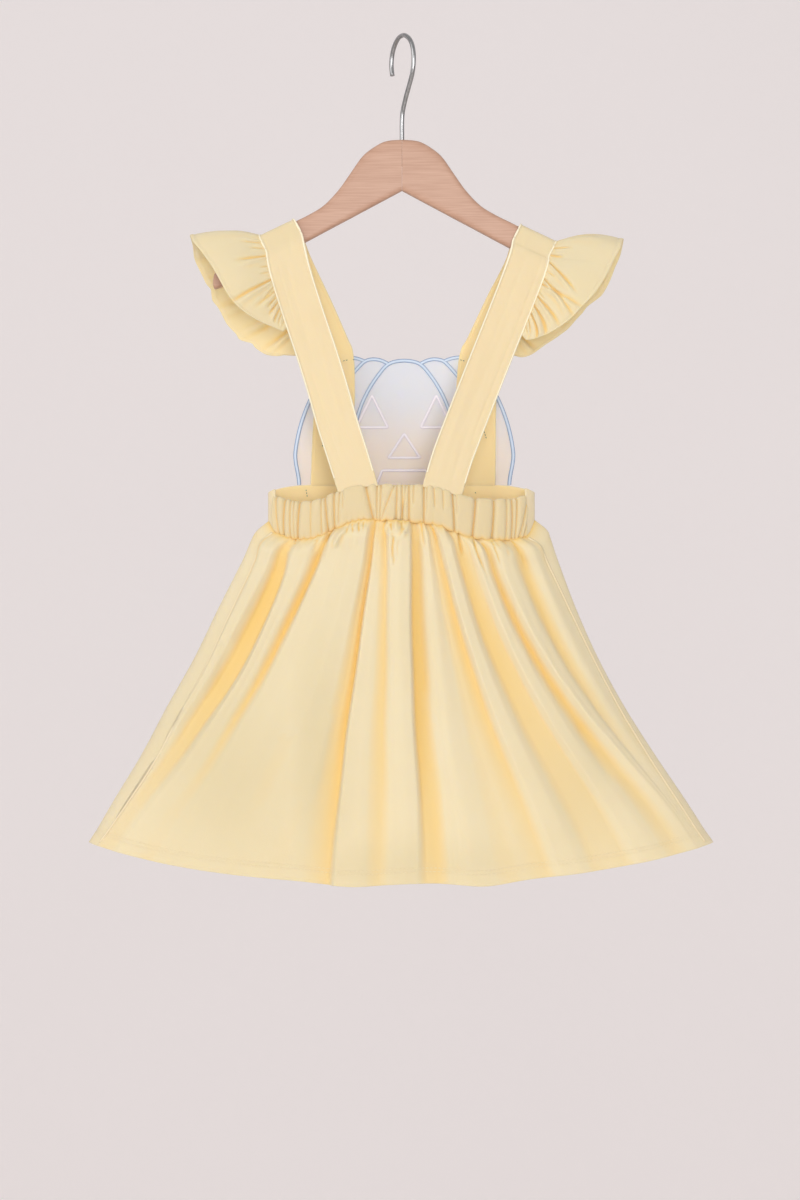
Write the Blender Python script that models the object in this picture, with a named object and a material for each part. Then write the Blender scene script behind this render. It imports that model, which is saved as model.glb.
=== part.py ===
"""Child's ruffle dress on a flat wooden clothes hanger, cloth walls as closed solids.

Metres, +Z up. The back of the dress faces -Y, so the bib is on the +Y side.
The origin is the inner top of the hook, where a rail bears.
"""
import math

import bmesh
import bpy
import numpy as np

# Sizes, metres
SEAM_GAP = 0.0003
CLOTH_WALL = 0.0015
STRAP_WALL = 0.0019
BAND_WALL = 0.0020
BIB_WALL = 0.0016
RUFFLE_WALL = 0.0012
WALL_STRETCH_LIMIT = 1.9

# Skirt ring
WAIST_HALF_DEPTH = 0.027
HEM_HALF_DEPTH = 0.055
HEM_LOW = -0.7300
HEM_RISE = 0.031
HEM_CURVE = 2.4
HEM_SWELLS = (
    # share of the half width, spread, drop
    (-0.16, 0.12, 0.0030),
    (0.27, 0.10, 0.0036),
)
FRONT_WAIST_SEAM = -0.4300
FRONT_BAND_TOP = -0.3885
FRONT_BAND_DIP = 0.0075
SIDE_REACH = 0.9
RING_LIMIT = 0.99
COLUMNS_PER_FOLD = 4
SKIRT_ROWS = 12
ROW_CROWDING = 1.35
SKIRT_FRONT_COLUMNS = 60

# Side edges of the skirt: share of the way down, left and right distance from the middle
SIDES = (
    # down, left, right
    (0.000, 0.1165, 0.1155),
    (0.030, 0.1265, 0.1260),
    (0.060, 0.1314, 0.1296),
    (0.125, 0.1392, 0.1357),
    (0.275, 0.1603, 0.1514),
    (0.425, 0.1805, 0.1701),
    (0.575, 0.2040, 0.1927),
    (0.725, 0.2262, 0.2192),
    (0.875, 0.2514, 0.2475),
    (1.000, 0.2714, 0.2697),
)

# Elastic back waistband: distance from the middle, top edge, skirt seam, gathers so far, gather height
BACK_BAND = (
    # across, top, seam, gathers, height
    (-0.116, -0.3950, -0.4200, 0.0, 0.0002),
    (-0.106, -0.4010, -0.4325, 2.0, 0.0010),
    (-0.080, -0.4050, -0.4363, 9.0, 0.0013),
    (-0.055, -0.3960, -0.4265, 14.0, 0.0012),
    (-0.032, -0.3910, -0.4200, 16.0, 0.0004),
    (0.005, -0.3908, -0.4215, 26.0, 0.0013),
    (0.028, -0.3925, -0.4240, 29.0, 0.0010),
    (0.058, -0.4015, -0.4345, 32.0, 0.0011),
    (0.085, -0.4030, -0.4372, 35.0, 0.0012),
    (0.107, -0.3997, -0.4335, 38.0, 0.0010),
    (0.116, -0.3945, -0.4180, 39.0, 0.0002),
)

BACK_BAND_STEPS = 201
BAND_BULGE = 0.0006

# Folds of the back panel. Places are shares of the half width at four heights, relief is in metres.
BACK_FOLDS = (
    # waist, upper, lower, hem, relief at waist, upper, lower, hem
    (-0.950, -0.940, -0.940, -0.970, 0.0000, 0.0000, 0.0000, 0.0000),
    (-0.900, -0.895, -0.915, -0.957, 0.0010, 0.0020, 0.0010, 0.0000),
    (-0.810, -0.840, -0.885, -0.942, -0.0020, -0.0050, -0.0030, -0.0005),
    (-0.600, -0.750, -0.830, -0.900, 0.0020, 0.0030, 0.0040, 0.0020),
    (-0.510, -0.645, -0.750, -0.810, -0.0020, -0.0040, -0.0020, -0.0010),
    (-0.450, -0.560, -0.670, -0.750, 0.0020, 0.0040, 0.0040, 0.0030),
    (-0.310, -0.340, -0.420, -0.520, 0.0010, 0.0000, -0.0010, 0.0000),
    (-0.240, -0.260, -0.320, -0.420, 0.0010, 0.0015, 0.0020, 0.0020),
    (-0.195, -0.190, -0.220, -0.320, -0.0030, -0.0085, -0.0085, -0.0050),
    (-0.160, -0.160, -0.190, -0.220, 0.0000, -0.0010, 0.0025, 0.0050),
    (-0.120, -0.100, -0.110, -0.120, -0.0010, -0.0010, 0.0000, 0.0010),
    (-0.070, -0.030, -0.020, -0.020, 0.0020, 0.0050, 0.0060, 0.0040),
    (0.060, 0.075, 0.070, 0.040, 0.0020, 0.0050, 0.0050, 0.0010),
    (0.110, 0.130, 0.130, 0.115, -0.0030, -0.0085, -0.0095, -0.0050),
    (0.150, 0.185, 0.190, 0.200, 0.0000, 0.0010, 0.0030, 0.0045),
    (0.200, 0.340, 0.415, 0.450, -0.0010, -0.0030, -0.0040, -0.0035),
    (0.260, 0.390, 0.480, 0.530, 0.0010, 0.0030, 0.0040, 0.0040),
    (0.400, 0.550, 0.650, 0.710, -0.0010, -0.0035, -0.0040, -0.0030),
    (0.490, 0.610, 0.720, 0.790, 0.0010, 0.0035, 0.0040, 0.0030),
    (0.560, 0.710, 0.830, 0.890, -0.0010, -0.0040, -0.0040, -0.0020),
    (0.640, 0.760, 0.880, 0.935, 0.0010, 0.0040, 0.0040, 0.0010),
    (0.770, 0.850, 0.920, 0.955, -0.0010, -0.0020, -0.0010, 0.0000),
    (0.860, 0.920, 0.950, 0.967, 0.0000, 0.0010, 0.0005, 0.0000),
    (0.930, 0.980, 0.980, 0.978, 0.0000, 0.0000, 0.0000, 0.0000),
)

# Folds of the front panel, softer, from a flat waistband
FRONT_FOLDS = (
    # waist, upper, lower, hem, relief at waist, upper, lower, hem
    (-0.960, -0.960, -0.960, -0.960, 0.0000, 0.0000, 0.0000, 0.0000),
    (-0.740, -0.780, -0.800, -0.820, 0.0000, -0.0020, -0.0040, -0.0050),
    (-0.540, -0.580, -0.620, -0.640, 0.0000, 0.0020, 0.0040, 0.0060),
    (-0.360, -0.400, -0.430, -0.450, 0.0000, -0.0015, -0.0040, -0.0060),
    (-0.150, -0.190, -0.230, -0.250, 0.0000, 0.0020, 0.0050, 0.0065),
    (0.040, 0.020, -0.010, -0.020, 0.0000, -0.0020, -0.0045, -0.0060),
    (0.200, 0.210, 0.220, 0.220, 0.0000, 0.0020, 0.0045, 0.0060),
    (0.370, 0.400, 0.420, 0.430, 0.0000, -0.0015, -0.0040, -0.0055),
    (0.560, 0.600, 0.620, 0.640, 0.0000, 0.0015, 0.0040, 0.0055),
    (0.760, 0.800, 0.820, 0.830, 0.0000, -0.0015, -0.0035, -0.0045),
    (0.960, 0.960, 0.960, 0.960, 0.0000, 0.0000, 0.0000, 0.0000),
)

# Straps: the way from the front waistband over the arm to the back waistband
STRAP_HALF_WIDTH = 0.0170
STRAP_LEFT_NARROWING = 0.14
ARM_LEAN = 25.5
STRAP_LEFT_TOP = -0.1080
STRAP_RIGHT_TOP = 0.1175
STRAP_LEFT_FRONT = (
    # across, height, lean in degrees
    (-0.0623, -0.3882, 1.0),
    (-0.0610, -0.3500, 1.0),
    (-0.0590, -0.3137, 2.0),
    (-0.0597, -0.2790, 12.0),
    (-0.0643, -0.2657, 21.0),
    (-0.0796, -0.2310, 24.0),
    (-0.0950, -0.1985, 24.0),
)
STRAP_LEFT_BACK = (
    # across, height, lean in degrees
    (-0.0990, -0.1960, 17.0),
    (-0.0895, -0.2289, 16.0),
    (-0.0692, -0.2900, 16.0),
    (-0.0540, -0.3422, 14.0),
    (-0.0379, -0.3905, 12.0),
)
STRAP_RIGHT_FRONT = (
    # across, height, lean in degrees
    (0.0641, -0.3882, 0.0),
    (0.0645, -0.3500, 0.0),
    (0.0648, -0.3137, 2.0),
    (0.0675, -0.2790, 14.0),
    (0.0740, -0.2657, 22.0),
    (0.0910, -0.2300, 25.0),
    (0.1055, -0.2020, 25.0),
)
STRAP_RIGHT_BACK = (
    # across, height, lean in degrees
    (0.1095, -0.1950, 20.0),
    (0.0970, -0.2290, 20.0),
    (0.0713, -0.2936, 20.0),
    (0.0500, -0.3478, 20.0),
    (0.0345, -0.3905, 17.0),
)
OVER_ARM = (
    # depth, rise above the arm's top edge
    (0.0084, -0.0140),
    (0.0080, -0.0045),
    (0.0070, 0.0004),
    (0.0036, 0.0018),
    (0.0000, 0.0021),
    (-0.0036, 0.0018),
    (-0.0070, 0.0004),
    (-0.0080, -0.0045),
    (-0.0084, -0.0140),
)
STRAP_STEPS = 37
SHOULDER_SPREAD = 0.10
STRAP_LEAVES_BIB = 0.25
STRAP_MEETS_BAND = 0.88
STRAP_EASE = 0.10
STRAP_FRONT_DEPTH = 0.0120
STRAP_BACK_DEPTH = -0.0110

# Ruffles: free edge from the front end over the shoulder to the back end
RUFFLE_LEFT_EDGE = (
    # across, depth, height
    (-0.0862, 0.0145, -0.2745),
    (-0.0960, 0.0190, -0.2738),
    (-0.1096, 0.0225, -0.2745),
    (-0.1291, 0.0250, -0.2668),
    (-0.1529, 0.0265, -0.2473),
    (-0.1659, 0.0250, -0.2229),
    (-0.1786, 0.0190, -0.1957),
    (-0.1822, 0.0110, -0.1795),
    (-0.1827, 0.0000, -0.1723),
    (-0.1800, -0.0110, -0.1800),
    (-0.1643, -0.0185, -0.2001),
    (-0.1484, -0.0225, -0.2276),
    (-0.1354, -0.0225, -0.2405),
    (-0.1210, -0.0190, -0.2488),
    (-0.1100, -0.0170, -0.2535),
    (-0.1035, -0.0155, -0.2565),
)
RUFFLE_RIGHT_EDGE = (
    # across, depth, height
    (0.0965, 0.0135, -0.2745),
    (0.1065, 0.0190, -0.2752),
    (0.1211, 0.0235, -0.2685),
    (0.1380, 0.0250, -0.2560),
    (0.1606, 0.0235, -0.2345),
    (0.1787, 0.0200, -0.2150),
    (0.1870, 0.0160, -0.1953),
    (0.1915, 0.0100, -0.1810),
    (0.1923, 0.0000, -0.1757),
    (0.1895, -0.0100, -0.1830),
    (0.1818, -0.0150, -0.1962),
    (0.1710, -0.0200, -0.2169),
    (0.1578, -0.0230, -0.2336),
    (0.1413, -0.0240, -0.2493),
    (0.1259, -0.0220, -0.2590),
    (0.1149, -0.0190, -0.2630),
    (0.1080, -0.0160, -0.2640),
)
RUFFLE_FRONT_START = -0.2700
RUFFLE_LEFT_BACK_END = -0.2525
RUFFLE_RIGHT_BACK_END = -0.2590
RUFFLE_GATHERS = 19
RUFFLE_ROWS = 6
RUFFLE_ROOT_RELIEF = 0.0006
RUFFLE_EDGE_RELIEF = 0.0017
RUFFLE_CROWN = 0.0040
RUFFLE_BELLY = 0.0035
RUFFLE_END_FADE = 0.06
RUFFLE_ROOT_SHARE = 0.4

# Bib, five lobes; each line runs from the top edge down to the front waistband
BIB_LINES = (
    # top across, top height, widest, foot, roundness
    (0.0145, -0.2820, 0.0410, 0.0400, 3.4),
    (0.0400, -0.2800, 0.0720, 0.0700, 3.0),
    (0.0600, -0.2790, 0.0968, 0.0920, 2.4),
)
BIB_LOBE_SHARES = ((0.5,), (0.5,), (0.2, 0.4, 0.6, 0.8), (0.5,), (0.5,))
BIB_LOBE_CROWN = 0.0028
BIB_WIDEST = 0.27
BIB_CENTRE = 0.0020
BIB_ROWS = 12
BIB_TOP_DEPTH = 0.0172
BIB_CURVE = 1.0
CORD_HALF_WIDTH = 0.0017
CORD_RELIEF = 0.0009
CORD_MIDDLE = 0.0009

# Hanger
ARM_HALF_THICKNESS = 0.0060
ARM_FLAT = 0.0036
ARM_EDGE = 0.0024
ARM_PROFILE = (
    # from the middle, top edge, bottom edge
    (0.00015, -0.0888, -0.1331),
    (0.0100, -0.0894, -0.1384),
    (0.0180, -0.0916, -0.1427),
    (0.0287, -0.0983, -0.1484),
    (0.0360, -0.1053, -0.1523),
    (0.0455, -0.1190, -0.1574),
    (0.0556, -0.1331, -0.1627),
    (0.0680, -0.1460, -0.1693),
    (0.0810, -0.1541, -0.1763),
    (0.0955, -0.1613, -0.1840),
    (0.1100, -0.1687, -0.1918),
    (0.1220, -0.1744, -0.1982),
    (0.1340, -0.1800, -0.2046),
    (0.1460, -0.1880, -0.2110),
    (0.1560, -0.1975, -0.2163),
    (0.1625, -0.2050, -0.2185),
    (0.1640, -0.2105, -0.2160),
)
WIRE_RADIUS = 0.0020
WIRE_SIDES = 8
SHANK_HOLE_RADIUS = 0.0023
SHANK_HOLE_SIDES = 12
SHANK_HOLE_FLOOR = -0.1130
SHANK_HOLE_MOUTH = -0.0800
HOOK_TURN = 28.0
HOOK_PATH = (
    # out from the shank, height
    (0.0000, -0.1120),
    (0.0000, -0.0880),
    (0.0000, -0.0720),
    (0.0018, -0.0630),
    (0.0072, -0.0525),
    (0.0130, -0.0435),
    (0.0194, -0.0325),
    (0.0214, -0.0210),
    (0.0194, -0.0105),
    (0.0138, -0.0032),
    (0.0060, 0.0012),
    (0.0000, 0.0020),
    (-0.0070, 0.0006),
    (-0.0140, -0.0048),
    (-0.0184, -0.0125),
    (-0.0196, -0.0215),
    (-0.0180, -0.0300),
)
HOOK_STEPS = 32


def curve_through(rows, count):
    """A smooth line through table rows, as count points even in the row number."""
    points = np.asarray(rows, dtype=float)
    padded = np.vstack([2 * points[0] - points[1], points, 2 * points[-1] - points[-2]])
    place = np.linspace(0, len(points) - 1, count)
    start = np.minimum(place.astype(int), len(points) - 2)
    share = (place - start)[:, None]
    before, first, second, after = (padded[start + k] for k in range(4))
    return 0.5 * (2 * first + (second - before) * share
                  + (2 * before - 5 * first + 4 * second - after) * share ** 2
                  + (3 * first - before - 3 * second + after) * share ** 3)


def even_steps(points, count):
    """The same line again, with its points an even distance apart."""
    far = np.concatenate([[0], np.cumsum(np.linalg.norm(np.diff(points[:, :3], axis=0), axis=1))])
    wanted = np.linspace(0, far[-1], count)
    return np.stack([np.interp(wanted, far, column) for column in points.T], axis=1)


def four_heights(values, down):
    """A cubic through values at the waist, a third, two thirds and the hem."""
    a, b, c, d = values
    s = 3 * down
    return (-a * (s - 1) * (s - 2) * (s - 3) / 6 + b * s * (s - 2) * (s - 3) / 2
            - c * s * (s - 1) * (s - 3) / 2 + d * s * (s - 1) * (s - 2) / 6)


def smooth(share):
    """Ease from 0 to 1 with level ends."""
    share = np.clip(share, 0, 1)
    return share * share * (3 - 2 * share)


def grid_normals(grid):
    """Unit normals of a grid of points, from its rows and columns."""
    across = np.gradient(grid, axis=1)
    down = np.gradient(grid, axis=0)
    normal = np.cross(across, down)
    return normal / np.maximum(np.linalg.norm(normal, axis=2, keepdims=True), 1e-12)


def add_solid(name, points, faces, smooth_shading):
    """A named mesh object with its normals outward."""
    mesh = bpy.data.meshes.new(name)
    mesh.from_pydata([tuple(p) for p in points], [], faces)
    work = bmesh.new()
    work.from_mesh(mesh)
    bmesh.ops.recalc_face_normals(work, faces=work.faces)
    if work.calc_volume(signed=True) < 0:
        bmesh.ops.reverse_faces(work, faces=work.faces)
    work.to_mesh(mesh)
    work.free()
    mesh.polygons.foreach_set("use_smooth", [smooth_shading] * len(mesh.polygons))
    part = bpy.data.objects.new(name, mesh)
    bpy.context.collection.objects.link(part)
    return part


def add_wall(name, outer, inward, wall):
    """A closed wall: the outer grid and a second one a wall further in."""
    slope = np.abs(np.sum(grid_normals(outer) * inward, axis=2, keepdims=True))
    stretch = 1 / np.maximum(slope, 1 / WALL_STRETCH_LIMIT)
    return add_layers(name, outer, outer + inward * wall * stretch)


def add_layers(name, outer, inner):
    """A closed wall between two grids of points."""
    rows, columns = outer.shape[:2]
    layer = rows * columns
    index = np.arange(layer).reshape(rows, columns)
    quads = np.stack([index[:-1, :-1], index[:-1, 1:], index[1:, 1:], index[1:, :-1]], axis=-1)
    quads = quads.reshape(-1, 4)
    rim = np.concatenate([index[0, :], index[1:, -1], index[-1, -2::-1], index[-2:0:-1, 0]])
    following = np.roll(rim, -1)
    sides = np.stack([following, rim, rim + layer, following + layer], axis=1)
    faces = quads.tolist() + (quads[:, ::-1] + layer).tolist() + sides.tolist()
    points = np.concatenate([outer.reshape(-1, 3), inner.reshape(-1, 3)])
    return add_solid(name, points, faces, True)


def skirt_rows(count):
    """Shares of the way down for the skirt's rows, closer together under the waist."""
    return np.linspace(0, 1, count) ** ROW_CROWDING


def side_edges(down):
    """Middle and half width of the skirt ring a share of the way down."""
    table = np.array(SIDES)
    left = np.interp(down, table[:, 0], table[:, 1])
    right = np.interp(down, table[:, 0], table[:, 2])
    return (right - left) / 2, (right + left) / 2


def half_depth(down):
    """Half depth of the ring a share of the way down."""
    return WAIST_HALF_DEPTH + (HEM_HALF_DEPTH - WAIST_HALF_DEPTH) * down


def back_band(across, column):
    """A column of the back waistband's table at a distance from the middle, on a smooth line."""
    table = curve_through(BACK_BAND, BACK_BAND_STEPS)
    return np.interp(across, table[:, 0], table[:, column])


def waist_seam(share):
    """Height of the back waist seam at a share of the half width."""
    middle, half = side_edges(0)
    return back_band(middle + share * half, 2)


def front_panel_top(turn):
    """Height of the front panel's waist seam, meeting the back one at both sides."""
    share = np.cos(turn)
    side = smooth((np.abs(share) - SIDE_REACH) / (1 - SIDE_REACH))
    level = FRONT_WAIST_SEAM + side * (waist_seam(share) - FRONT_WAIST_SEAM)
    return np.where(np.sin(turn) > 0, waist_seam(share), level)


def hem_height(share):
    """Height of the hem at a share of the half width."""
    height = HEM_LOW + HEM_RISE * np.abs(share) ** HEM_CURVE
    for place, spread, drop in HEM_SWELLS:
        height = height - drop * np.exp(-((share - place) / spread) ** 2)
    return height


def relief(table, share, down):
    """Fold relief at a share of the half width: eased between the table's ridges and troughs."""
    places = np.array([four_heights(row[:4], down) for row in table])
    heights = np.array([four_heights(row[4:], down) for row in table])
    total = np.zeros_like(share)
    for k in range(len(table) - 1):
        step = (share - places[k]) / (places[k + 1] - places[k])
        inside = (step >= 0) & (step <= 1)
        ease = 0.5 - 0.5 * np.cos(np.pi * np.clip(step, 0, 1))
        total = np.where(inside, heights[k] + (heights[k + 1] - heights[k]) * ease, total)
    return total


def ring_point(turn, down, height, out):
    """A point of the ring: turn 0 at the right side, a quarter at the back, with relief outward."""
    middle, half = side_edges(down)
    depth = half_depth(down)
    normal = np.stack([np.cos(turn) / half, -np.sin(turn) / depth], axis=-1)
    normal /= np.linalg.norm(normal, axis=-1, keepdims=True)
    across = middle + half * np.cos(turn) + out * normal[..., 0]
    deep = -depth * np.sin(turn) + out * normal[..., 1]
    inward = np.stack([-normal[..., 0], -normal[..., 1], np.zeros_like(turn)], axis=-1)
    return np.stack([across, deep, height], axis=-1), inward


def fold_columns(table, down, steps):
    """Shares of the half width for the columns: on each fold line and evenly between."""
    places = np.array([four_heights(row[:4], down) for row in table])
    spots = np.arange(len(table) - 1)[:, None] + np.arange(steps)[None, :] / steps
    spots = np.append(spots.ravel(), len(table) - 1)
    return np.interp(spots, np.arange(len(table)), places)


def seam_turns(down):
    """Turns of the right and left side seams, both on the back."""
    right = math.acos(four_heights(BACK_FOLDS[-1][:4], down))
    left = math.acos(four_heights(BACK_FOLDS[0][:4], down))
    return right, left


def seam_allowance(down):
    """Half of the seam gap as a turn at the side seam."""
    return SEAM_GAP / 2 / (half_depth(down) * SIDE_REACH)


def build_skirt_back():
    """Back panel, gathered at the waist, with columns along its folds."""
    rows, normals = [], []
    for down in skirt_rows(SKIRT_ROWS):
        share = fold_columns(BACK_FOLDS, down, COLUMNS_PER_FOLD)
        turn = np.arccos(np.clip(share, -1, 1))
        turn[0] -= seam_allowance(down)
        turn[-1] += seam_allowance(down)
        top = waist_seam(share)
        height = top + (hem_height(share) - top) * down
        points, inward = ring_point(turn, down, height, relief(BACK_FOLDS, share, down))
        rows.append(points)
        normals.append(inward)
    return add_wall("skirt_back", np.array(rows), np.array(normals), CLOTH_WALL)


def build_skirt_front():
    """Front panel, turned over both sides as far as the side seams on the back."""
    rows, normals = [], []
    for down in skirt_rows(SKIRT_ROWS):
        right, left = seam_turns(down)
        gap = seam_allowance(down)
        turn = np.linspace(right - gap, left + gap - 2 * math.pi, SKIRT_FRONT_COLUMNS)
        share = np.cos(turn)
        top = front_panel_top(turn)
        height = top + (hem_height(share) - top) * down
        out = np.where(np.sin(turn) > 0, 0, relief(FRONT_FOLDS, share, down))
        points, inward = ring_point(turn, down, height, out)
        rows.append(points)
        normals.append(inward)
    return add_wall("skirt_front", np.array(rows), np.array(normals), CLOTH_WALL)


def build_waistband_back():
    """Elastic waistband, its gathers from the table, four columns to a gather."""
    table = curve_through(BACK_BAND, BACK_BAND_STEPS)
    right, left = seam_turns(0)
    middle, half = side_edges(0)
    first = middle + half * math.cos(left)
    last = middle + half * math.cos(right)
    gathers = np.interp([first, last], table[:, 0], table[:, 3])
    steps = int(round((gathers[1] - gathers[0]) * 4))
    phase = np.linspace(gathers[0], gathers[1], steps + 1)
    across = np.interp(phase, table[:, 3], table[:, 0])
    turn = np.arccos(np.clip((across - middle) / half, -1, 1))
    turn[0] -= seam_allowance(0)
    turn[-1] += seam_allowance(0)
    rows, normals = [], []
    for up in np.linspace(0, 1, 3):
        low = back_band(across, 2) + SEAM_GAP
        high = back_band(across, 1)
        bulge = BAND_BULGE * math.sin(math.pi * up)
        out = back_band(across, 4) * np.cos(2 * np.pi * phase) + bulge
        points, inward = ring_point(turn, 0, low + (high - low) * up, out)
        rows.append(points)
        normals.append(inward)
    return add_wall("waistband_back", np.array(rows), np.array(normals), BAND_WALL)


def front_band_top(share):
    """Top edge of the front waistband, dipping towards the side seams."""
    return FRONT_BAND_TOP - FRONT_BAND_DIP * np.abs(share) ** 8


def build_waistband_front():
    """Flat front waistband from side seam to side seam."""
    right, left = seam_turns(0)
    gap = seam_allowance(0)
    turn = np.linspace(right - gap, left + gap - 2 * math.pi, SKIRT_FRONT_COLUMNS)
    share = np.cos(turn)
    low = front_panel_top(turn) + SEAM_GAP
    rows, normals = [], []
    for up in (0.0, 1.0):
        points, inward = ring_point(turn, 0, low + (front_band_top(share) - low) * up, 0 * turn)
        rows.append(points)
        normals.append(inward)
    return add_wall("waistband_front", np.array(rows), np.array(normals), BAND_WALL)


def waist_depth(across, side):
    """Depth of the waist ring's outer face, side -1 at the back and 1 at the front."""
    middle, half = side_edges(0)
    share = np.clip((across - middle) / half, -RING_LIMIT, RING_LIMIT)
    return side * WAIST_HALF_DEPTH * np.sqrt(1 - share ** 2)


def front_sheet(across, height):
    """Depth of the seam plane between the bib and the front straps."""
    up = np.clip((height - FRONT_BAND_TOP) / (BIB_LINES[0][1] - FRONT_BAND_TOP), 0, 1)
    flat = BIB_TOP_DEPTH - BIB_CURVE * across ** 2
    return waist_depth(across, 1) + (flat - waist_depth(across, 1)) * smooth(up)


def arm_top(across):
    """Height of the arm's top edge at a distance from the middle."""
    table = np.array(ARM_PROFILE)
    return np.interp(np.abs(across), table[:, 0], table[:, 1])


def strap_path(side):
    """Stations of a strap: across, depth, height and lean, from the front to the back."""
    front = STRAP_LEFT_FRONT if side < 0 else STRAP_RIGHT_FRONT
    back = STRAP_LEFT_BACK if side < 0 else STRAP_RIGHT_BACK
    top = STRAP_LEFT_TOP if side < 0 else STRAP_RIGHT_TOP
    lean = math.radians(ARM_LEAN)
    stations = []
    for across, height, turn in front:
        up = (height - BIB_LINES[0][1]) / (front[-1][1] - BIB_LINES[0][1])
        sheet = float(front_sheet(across, height)) - SEAM_GAP / 2 - STRAP_WALL / 2
        depth = sheet + (STRAP_FRONT_DEPTH - sheet) * float(smooth(up)) if up > 0 else sheet
        stations.append((across, depth, height, turn))
    for depth, rise in OVER_ARM:
        across = top + side * rise * math.sin(lean)
        stations.append((across, depth, float(arm_top(top)) + rise * math.cos(lean), ARM_LEAN))
    for across, height, turn in back:
        down = (height - back[0][1]) / (back[-1][1] - back[0][1])
        seat = float(waist_depth(across, -1)) + BAND_WALL / 2
        stations.append((across, STRAP_BACK_DEPTH + (seat - STRAP_BACK_DEPTH) * down, height, turn))
    return curve_through(stations, STRAP_STEPS)


def strap_middle(side, shares, beyond=0.0):
    """Middle surface of a strap at shares of its half width, its ends laid to the waistbands."""
    path = strap_path(side)
    along = np.linspace(0, 1, len(path))[:, None]
    narrow = STRAP_LEFT_NARROWING if side < 0 else 0.0
    half = STRAP_HALF_WIDTH * (1 - narrow * np.exp(-((along - 0.5) / SHOULDER_SPREAD) ** 2))
    offsets = half * np.asarray(shares)[None, :] + beyond
    lean = np.radians(path[:, 3])
    width = np.stack([np.cos(lean), 0 * lean, -side * np.sin(lean)], axis=1)
    grid = path[:, None, :3] + width[:, None, :] * offsets[..., None]
    at_front = smooth((STRAP_LEAVES_BIB - along) / STRAP_EASE)
    front = front_sheet(grid[..., 0], grid[..., 2]) - SEAM_GAP / 2 - STRAP_WALL / 2
    grid[..., 1] += at_front * (front - grid[..., 1])
    at_back = smooth((along - STRAP_MEETS_BAND) / STRAP_EASE)
    back = waist_depth(grid[..., 0], -1) + BAND_WALL / 2
    grid[..., 1] += at_back * (back - grid[..., 1])
    grid[0, :, 2] = FRONT_BAND_TOP + SEAM_GAP
    grid[-1, :, 2] = back_band(grid[-1, :, 0], 1) + SEAM_GAP
    return grid


def build_strap(name, side):
    """One strap, a folded strip over the arm."""
    grid = strap_middle(side, (-1.0, -0.5, 0.0, 0.5, 1.0))
    normal = grid_normals(grid)
    return add_wall(name, grid - normal * STRAP_WALL / 2, normal, STRAP_WALL)


def ruffle_root(side, count):
    """The strap's outer edge between the ruffle's ends, a seam gap out, and the way out from it."""
    edge = strap_middle(side, (side,), side * SEAM_GAP)[:, 0]
    edge = np.hstack([edge, edge - strap_middle(side, (0.5 * side,))[:, 0]])
    top = int(np.argmax(edge[:, 2]))
    front = np.interp(RUFFLE_FRONT_START, edge[:top + 1, 2], np.arange(top + 1))
    end = RUFFLE_LEFT_BACK_END if side < 0 else RUFFLE_RIGHT_BACK_END
    back = np.interp(-end, -edge[top:, 2], np.arange(top, len(edge)))
    place = np.linspace(front, back, count)
    steps = np.arange(len(edge))
    root = np.stack([np.interp(place, steps, column) for column in edge.T], axis=1)
    root = even_steps(root, count)
    return root[:, :3], root[:, 3:] / np.linalg.norm(root[:, 3:], axis=1, keepdims=True)


def build_ruffle(name, side, edge_rows):
    """Gathered ruffle from the strap's outer edge out to a free edge."""
    columns = RUFFLE_GATHERS * 4 + 1
    root, beside = ruffle_root(side, columns)
    edge = even_steps(curve_through(edge_rows, 300), columns)
    along = np.linspace(0, 1, columns)
    out = np.linspace(0, 1, RUFFLE_ROWS)[:, None]
    base = root[None] + (edge - root)[None] * out[..., None]
    crown = RUFFLE_CROWN * np.exp(-((along - 0.5) / SHOULDER_SPREAD) ** 2) * np.sin(np.pi * out)
    base[..., 2] += crown
    belly = RUFFLE_BELLY * np.sin(np.pi * out) * np.sin(2 * np.pi * along)
    base[..., 1] += belly
    normal = grid_normals(base)
    if np.mean(normal[..., 2]) < 0:
        normal = -normal
    toward = np.sum(normal * beside[None], axis=2) * (1 - smooth(out / RUFFLE_ROOT_SHARE))
    normal -= toward[..., None] * beside[None]
    normal /= np.linalg.norm(normal, axis=2, keepdims=True)
    gathers = np.cos(2 * np.pi * RUFFLE_GATHERS * along)
    ends = smooth(along / RUFFLE_END_FADE) * smooth((1 - along) / RUFFLE_END_FADE)
    height = (RUFFLE_ROOT_RELIEF + (RUFFLE_EDGE_RELIEF - RUFFLE_ROOT_RELIEF) * out) * ends
    outer = base + normal * (RUFFLE_WALL + height * gathers)[..., None]
    return add_wall(name, outer, -normal, RUFFLE_WALL)


def bib_line(row, up):
    """Distance from the middle of a lobe line at a share of the way up."""
    top, _, widest, foot, roundness = row
    spread = top + (widest - top) * (1 - up ** roundness)
    return spread + (foot - widest) * smooth(1 - up / BIB_WIDEST)


def bib_columns():
    """Columns of the bib: place in lobes from the left outline, shift and cord share."""
    border = [(0, 0.0, 1.0), (0, 2 * CORD_MIDDLE, 1.0), (0, 2 * CORD_HALF_WIDTH, 0.0)]
    columns = list(border)
    for lobe, shares in enumerate(BIB_LOBE_SHARES):
        columns += [(lobe + share, 0.0, 0.0) for share in shares]
        if lobe + 1 < len(BIB_LOBE_SHARES):
            columns += [(lobe + 1, -CORD_HALF_WIDTH, 0.0), (lobe + 1, -CORD_MIDDLE, 1.0),
                        (lobe + 1, CORD_MIDDLE, 1.0), (lobe + 1, CORD_HALF_WIDTH, 0.0)]
    return columns + [(len(BIB_LOBE_SHARES), -shift, high) for _, shift, high in reversed(border)]


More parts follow.
